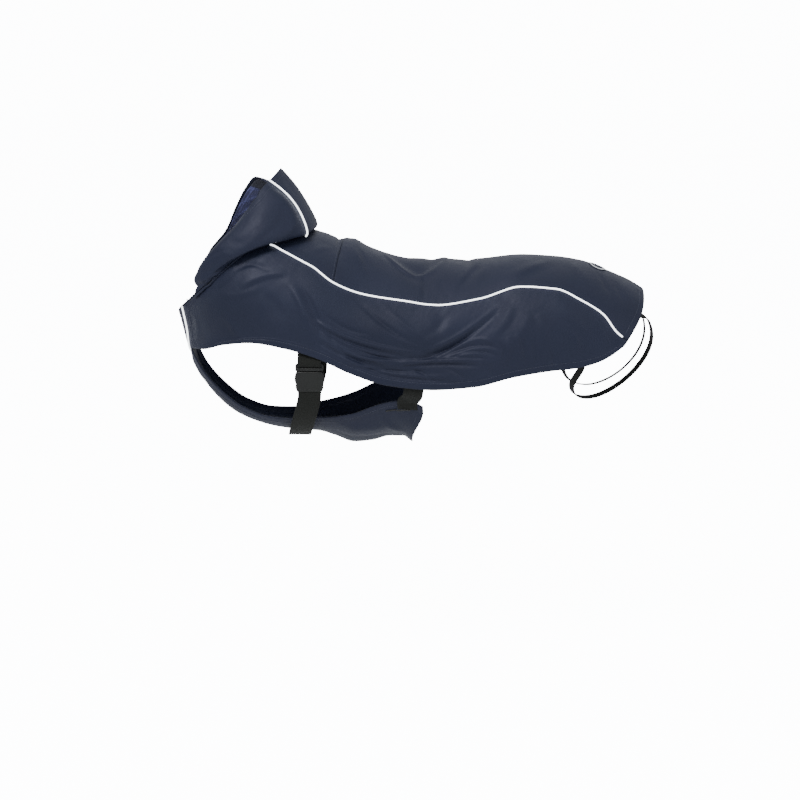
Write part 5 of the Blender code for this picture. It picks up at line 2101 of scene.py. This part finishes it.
    def button(self, way: int) -> Mesh:
        """The prong's ribbed thumb rest that fills a side window.

        Args:
            way: -1 or 1, the window's side.

        Returns:
            Points, quads and flat places.
        """
        t = np.linspace(0, 1, 25)[:, None]
        angle = np.linspace(0, 2 * math.pi, 24, endpoint=False)
        swell = np.sqrt(np.clip(1 - (2 * t - 1) ** 4, 0.01, 1))
        ribs = 0.14 * np.cos(t * 6 * 2 * math.pi)
        x = way * (self.button_at + (1.25 + ribs) * swell * np.cos(angle))
        y = 1.9 * swell * np.sin(angle)
        z = np.broadcast_to(self.button_foot + self.button_height * t, y.shape)
        return self.closed(np.stack([x, y, z], axis=-1))

    def rib(self, z: float) -> Mesh:
        """A fine rib along the plug's shoulder.

        Args:
            z: Its height.

        Returns:
            Points, quads and flat places.
        """
        x = np.linspace(-15.5, 15.5, 24)
        path = np.stack([x, np.full(24, 2.75), np.full(24, z)], axis=-1)
        return tube(path, 0.3, 8, np.tile([0.0, 0.0, 1.0], (24, 1)))

    def place(self, name: str, parts: list[Mesh]) -> Object:
        """Joins parts given across, out and up, and sets them on this side.

        Args:
            name: The piece's name.
            parts: The parts.

        Returns:
            The new piece.
        """
        points, faces, uv = joined(parts)
        middle, outward, up = buckle_axes(self.sign)
        across, away, rise = points.T[..., None]
        world = middle + across * np.array([1, 0, 0]) + away * outward + rise * up
        return add_piece(name, world, faces, uv, "buckle", self.looks.plastic)


@dataclass
class RumpMark:
    """A plain round patch on the rump, with a pale ring near its edge."""

    body: BodyShell
    looks: Looks
    x: float = 261.0
    w: float = -0.031
    radius: float = 12.0
    height: float = 0.75
    ring_radius: float = 9.6
    rings: int = 26
    sides: int = 96
    net: int = 41

    def build(self) -> None:
        """Makes the patch and its ring, both draped on the back."""
        share = np.linspace(0, 1, self.rings)
        profile = np.stack([share * self.radius, np.full(self.rings, self.height)], axis=-1)
        profile[-3:, 1] = 0.7, 0.45, 0.0
        profile[-2:, 0] = self.radius
        piece = self.drape("rump_patch", profile, self.looks.facing)
        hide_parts("rump_mark")
        angle = np.linspace(math.pi, 0, 9)
        across = self.ring_radius + 1.35 * np.cos(angle)
        ring = np.stack([across, 0.62 + 0.42 * np.sin(angle)], axis=-1)
        self.drape("rump_ring", ring, self.looks.mark)

    def drape(self, name: str, profile: Array, look: Material) -> Object:
        """A turned profile laid on the back, with a flat underside.

        Args:
            name: The piece's name.
            profile: Radius and height of each place; a radius of 0 first closes it.
            look: The piece's material.

        Returns:
            The new piece.
        """
        u0, last, centre = self.body.u_at(self.x, 0.0), self.net - 2, self.net // 2
        us = np.linspace(u0 - 0.03, u0 + 0.03, self.net)
        ws = np.linspace(self.w - 0.09, self.w + 0.09, self.net)
        grid = self.body.face(us, ws)
        along = lengths_along(grid, 0)[:, centre]
        around = lengths_along(grid, 1)[centre]
        profile = np.concatenate([profile, profile[::-1] * [1, 0] + [0, -0.1]])
        angle = np.linspace(0, 2 * math.pi, self.sides, endpoint=False)
        down, over = profile[:, :1] * np.cos(angle), profile[:, :1] * np.sin(angle)
        i = (np.interp(down, along - along[centre], us) - us[0]) / (us[1] - us[0])
        j = (np.interp(over, around - around[centre], ws) - ws[0]) / (ws[1] - ws[0])
        a, b = np.clip(i.astype(int), 0, last), np.clip(j.astype(int), 0, last)
        s, t = (i - a)[..., None], (j - b)[..., None]

        def blend(values: Array) -> Array:
            """The values between the net's points.

            Args:
                values: Values at the net's points, (net, net, 3).

            Returns:
                Values at the turned profile's places.
            """
            low = values[a, b] * (1 - t) + values[a, b + 1] * t
            high = values[a + 1, b] * (1 - t) + values[a + 1, b + 1] * t
            return low * (1 - s) + high * s

        rise = profile[:, 1][:, None, None] + CLOTH + 0.3
        rings = blend(grid) + unit(blend(normals_of(grid))) * rise
        if profile[0, 0] > 0:
            points = rings.reshape(-1, 3)
            faces = grid_faces(len(profile), self.sides, closed=True, looped=True)
        else:
            points, faces = stacked(rings)
        uv = np.stack([down, over], axis=-1).reshape(-1, 2)
        return add_piece(name, points, faces, uv, "mark", look)


@dataclass
class Studio:
    """Pale floor and sweep, soft lights and the camera."""

    floor_z: float = -0.58
    floor_half: float = 14.0
    target: tuple[float, float, float] = (0.0, 0.0, -0.1932)
    distance: float = 2.5
    elevation: float = math.radians(12.0)
    lens: float = 83.33
    room_light: float = 0.9
    paper: float = 14.0

    def build(self) -> None:
        """Makes the camera, then the floor, the lights and the room."""
        self.camera()
        self.floor()
        self.light("key", (-1.0, -1.9, 2.3), 1.0, 106)
        self.light("fill", (2.2, -1.8, 0.9), 2.2, 24)
        self.light("rear", (0.5, 2.2, 2.0), 2.4, 12)
        self.light("top", (0.0, 0.1, 2.6), 2.6, 9)
        self.room()

    def camera(self) -> None:
        """A camera that looks down at the coat from its left."""
        lens = bpy.data.cameras.new("camera")
        lens.lens, lens.sensor_width = self.lens, 36.0
        camera = bpy.data.objects.new("camera", lens)
        x, y, z = self.target
        back = self.distance * math.cos(self.elevation)
        up = self.distance * math.sin(self.elevation)
        camera.location = (x, y - back, z + up)
        camera.rotation_euler = (math.pi / 2 - self.elevation, 0, 0)
        bpy.context.scene.collection.objects.link(camera)
        bpy.context.scene.camera = camera

    def room(self) -> None:
        """A soft pale room, brighter where the camera sees it."""
        world = bpy.data.worlds.new("room")
        world.use_nodes = True
        graph = Graph(world.node_tree)
        room = world.node_tree.nodes["Background"]
        seen = graph.add("LightPath").outputs["Is Camera Ray"]
        strength = graph.ramp(seen, 0.0, 1.0, self.room_light, self.paper)
        graph.fill(room, {"Color": opaque((0.96, 0.98, 1.0)), "Strength": strength})
        bpy.context.scene.world = world

    def floor(self) -> None:
        """A flat floor, wide enough for every view."""
        mesh = bpy.data.meshes.new("floor")
        half = self.floor_half
        corners = [(-half, -half), (half, -half), (half, half), (-half, half)]
        mesh.from_pydata([(x, y, self.floor_z) for x, y in corners], [], [(0, 1, 2, 3)])
        look = bpy.data.materials.new("pale floor")
        look.use_nodes = True
        graph = Graph(look.node_tree)
        seen = graph.add("LightPath").outputs["Is Camera Ray"]
        glow = graph.math("MULTIPLY", seen, self.paper - 1.0)
        inputs = {
            "Base Color": opaque((0.86, 0.87, 0.88)),
            "Roughness": 0.8,
            "Emission Color": opaque((0.96, 0.98, 1.0)),
            "Emission Strength": glow,
        }
        graph.fill(look.node_tree.nodes["Principled BSDF"], inputs)
        mesh.materials.append(look)
        floor = bpy.data.objects.new("floor", mesh)
        bpy.context.scene.collection.objects.link(floor)

    def light(
        self, name: str, place: tuple[float, float, float], size: float, power: float
    ) -> None:
        """A square soft light that looks at the coat.

        Args:
            name: The light's name.
            place: Where it stands.
            size: Length of its side.
            power: Its power in watts.
        """
        lamp = bpy.data.lights.new(name, "AREA")
        lamp.shape, lamp.size, lamp.energy = "SQUARE", size, power
        light = bpy.data.objects.new(name, lamp)
        light.location = place
        toward = light.location - Vector(self.target)
        light.rotation_euler = toward.to_track_quat("Z", "Y").to_euler()
        bpy.context.scene.collection.objects.link(light)


def main() -> None:
    """Builds the coat and its studio."""
    logging.basicConfig(level=logging.INFO, format="%(name)s: %(message)s")
    for old in list(bpy.data.objects):
        bpy.data.objects.remove(old)
    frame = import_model()
    LOG.info("frame: %d solids", len(frame["nodes"]))
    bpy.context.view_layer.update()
    Studio().build()
    looks = Looks()
    body = BodyShell()
    under = UnderShell(body)
    BodyPanels(body, looks).build()
    HoodPieces(HoodShell(body), body, looks).build()
    ChestBelly(under, body, looks).build()
    Straps(body, under, looks).build()
    for side, sign in SIDES:
        Buckle(sign, looks).build(side)
    RumpMark(body, looks).build()


if __name__ == "__main__":
    main()
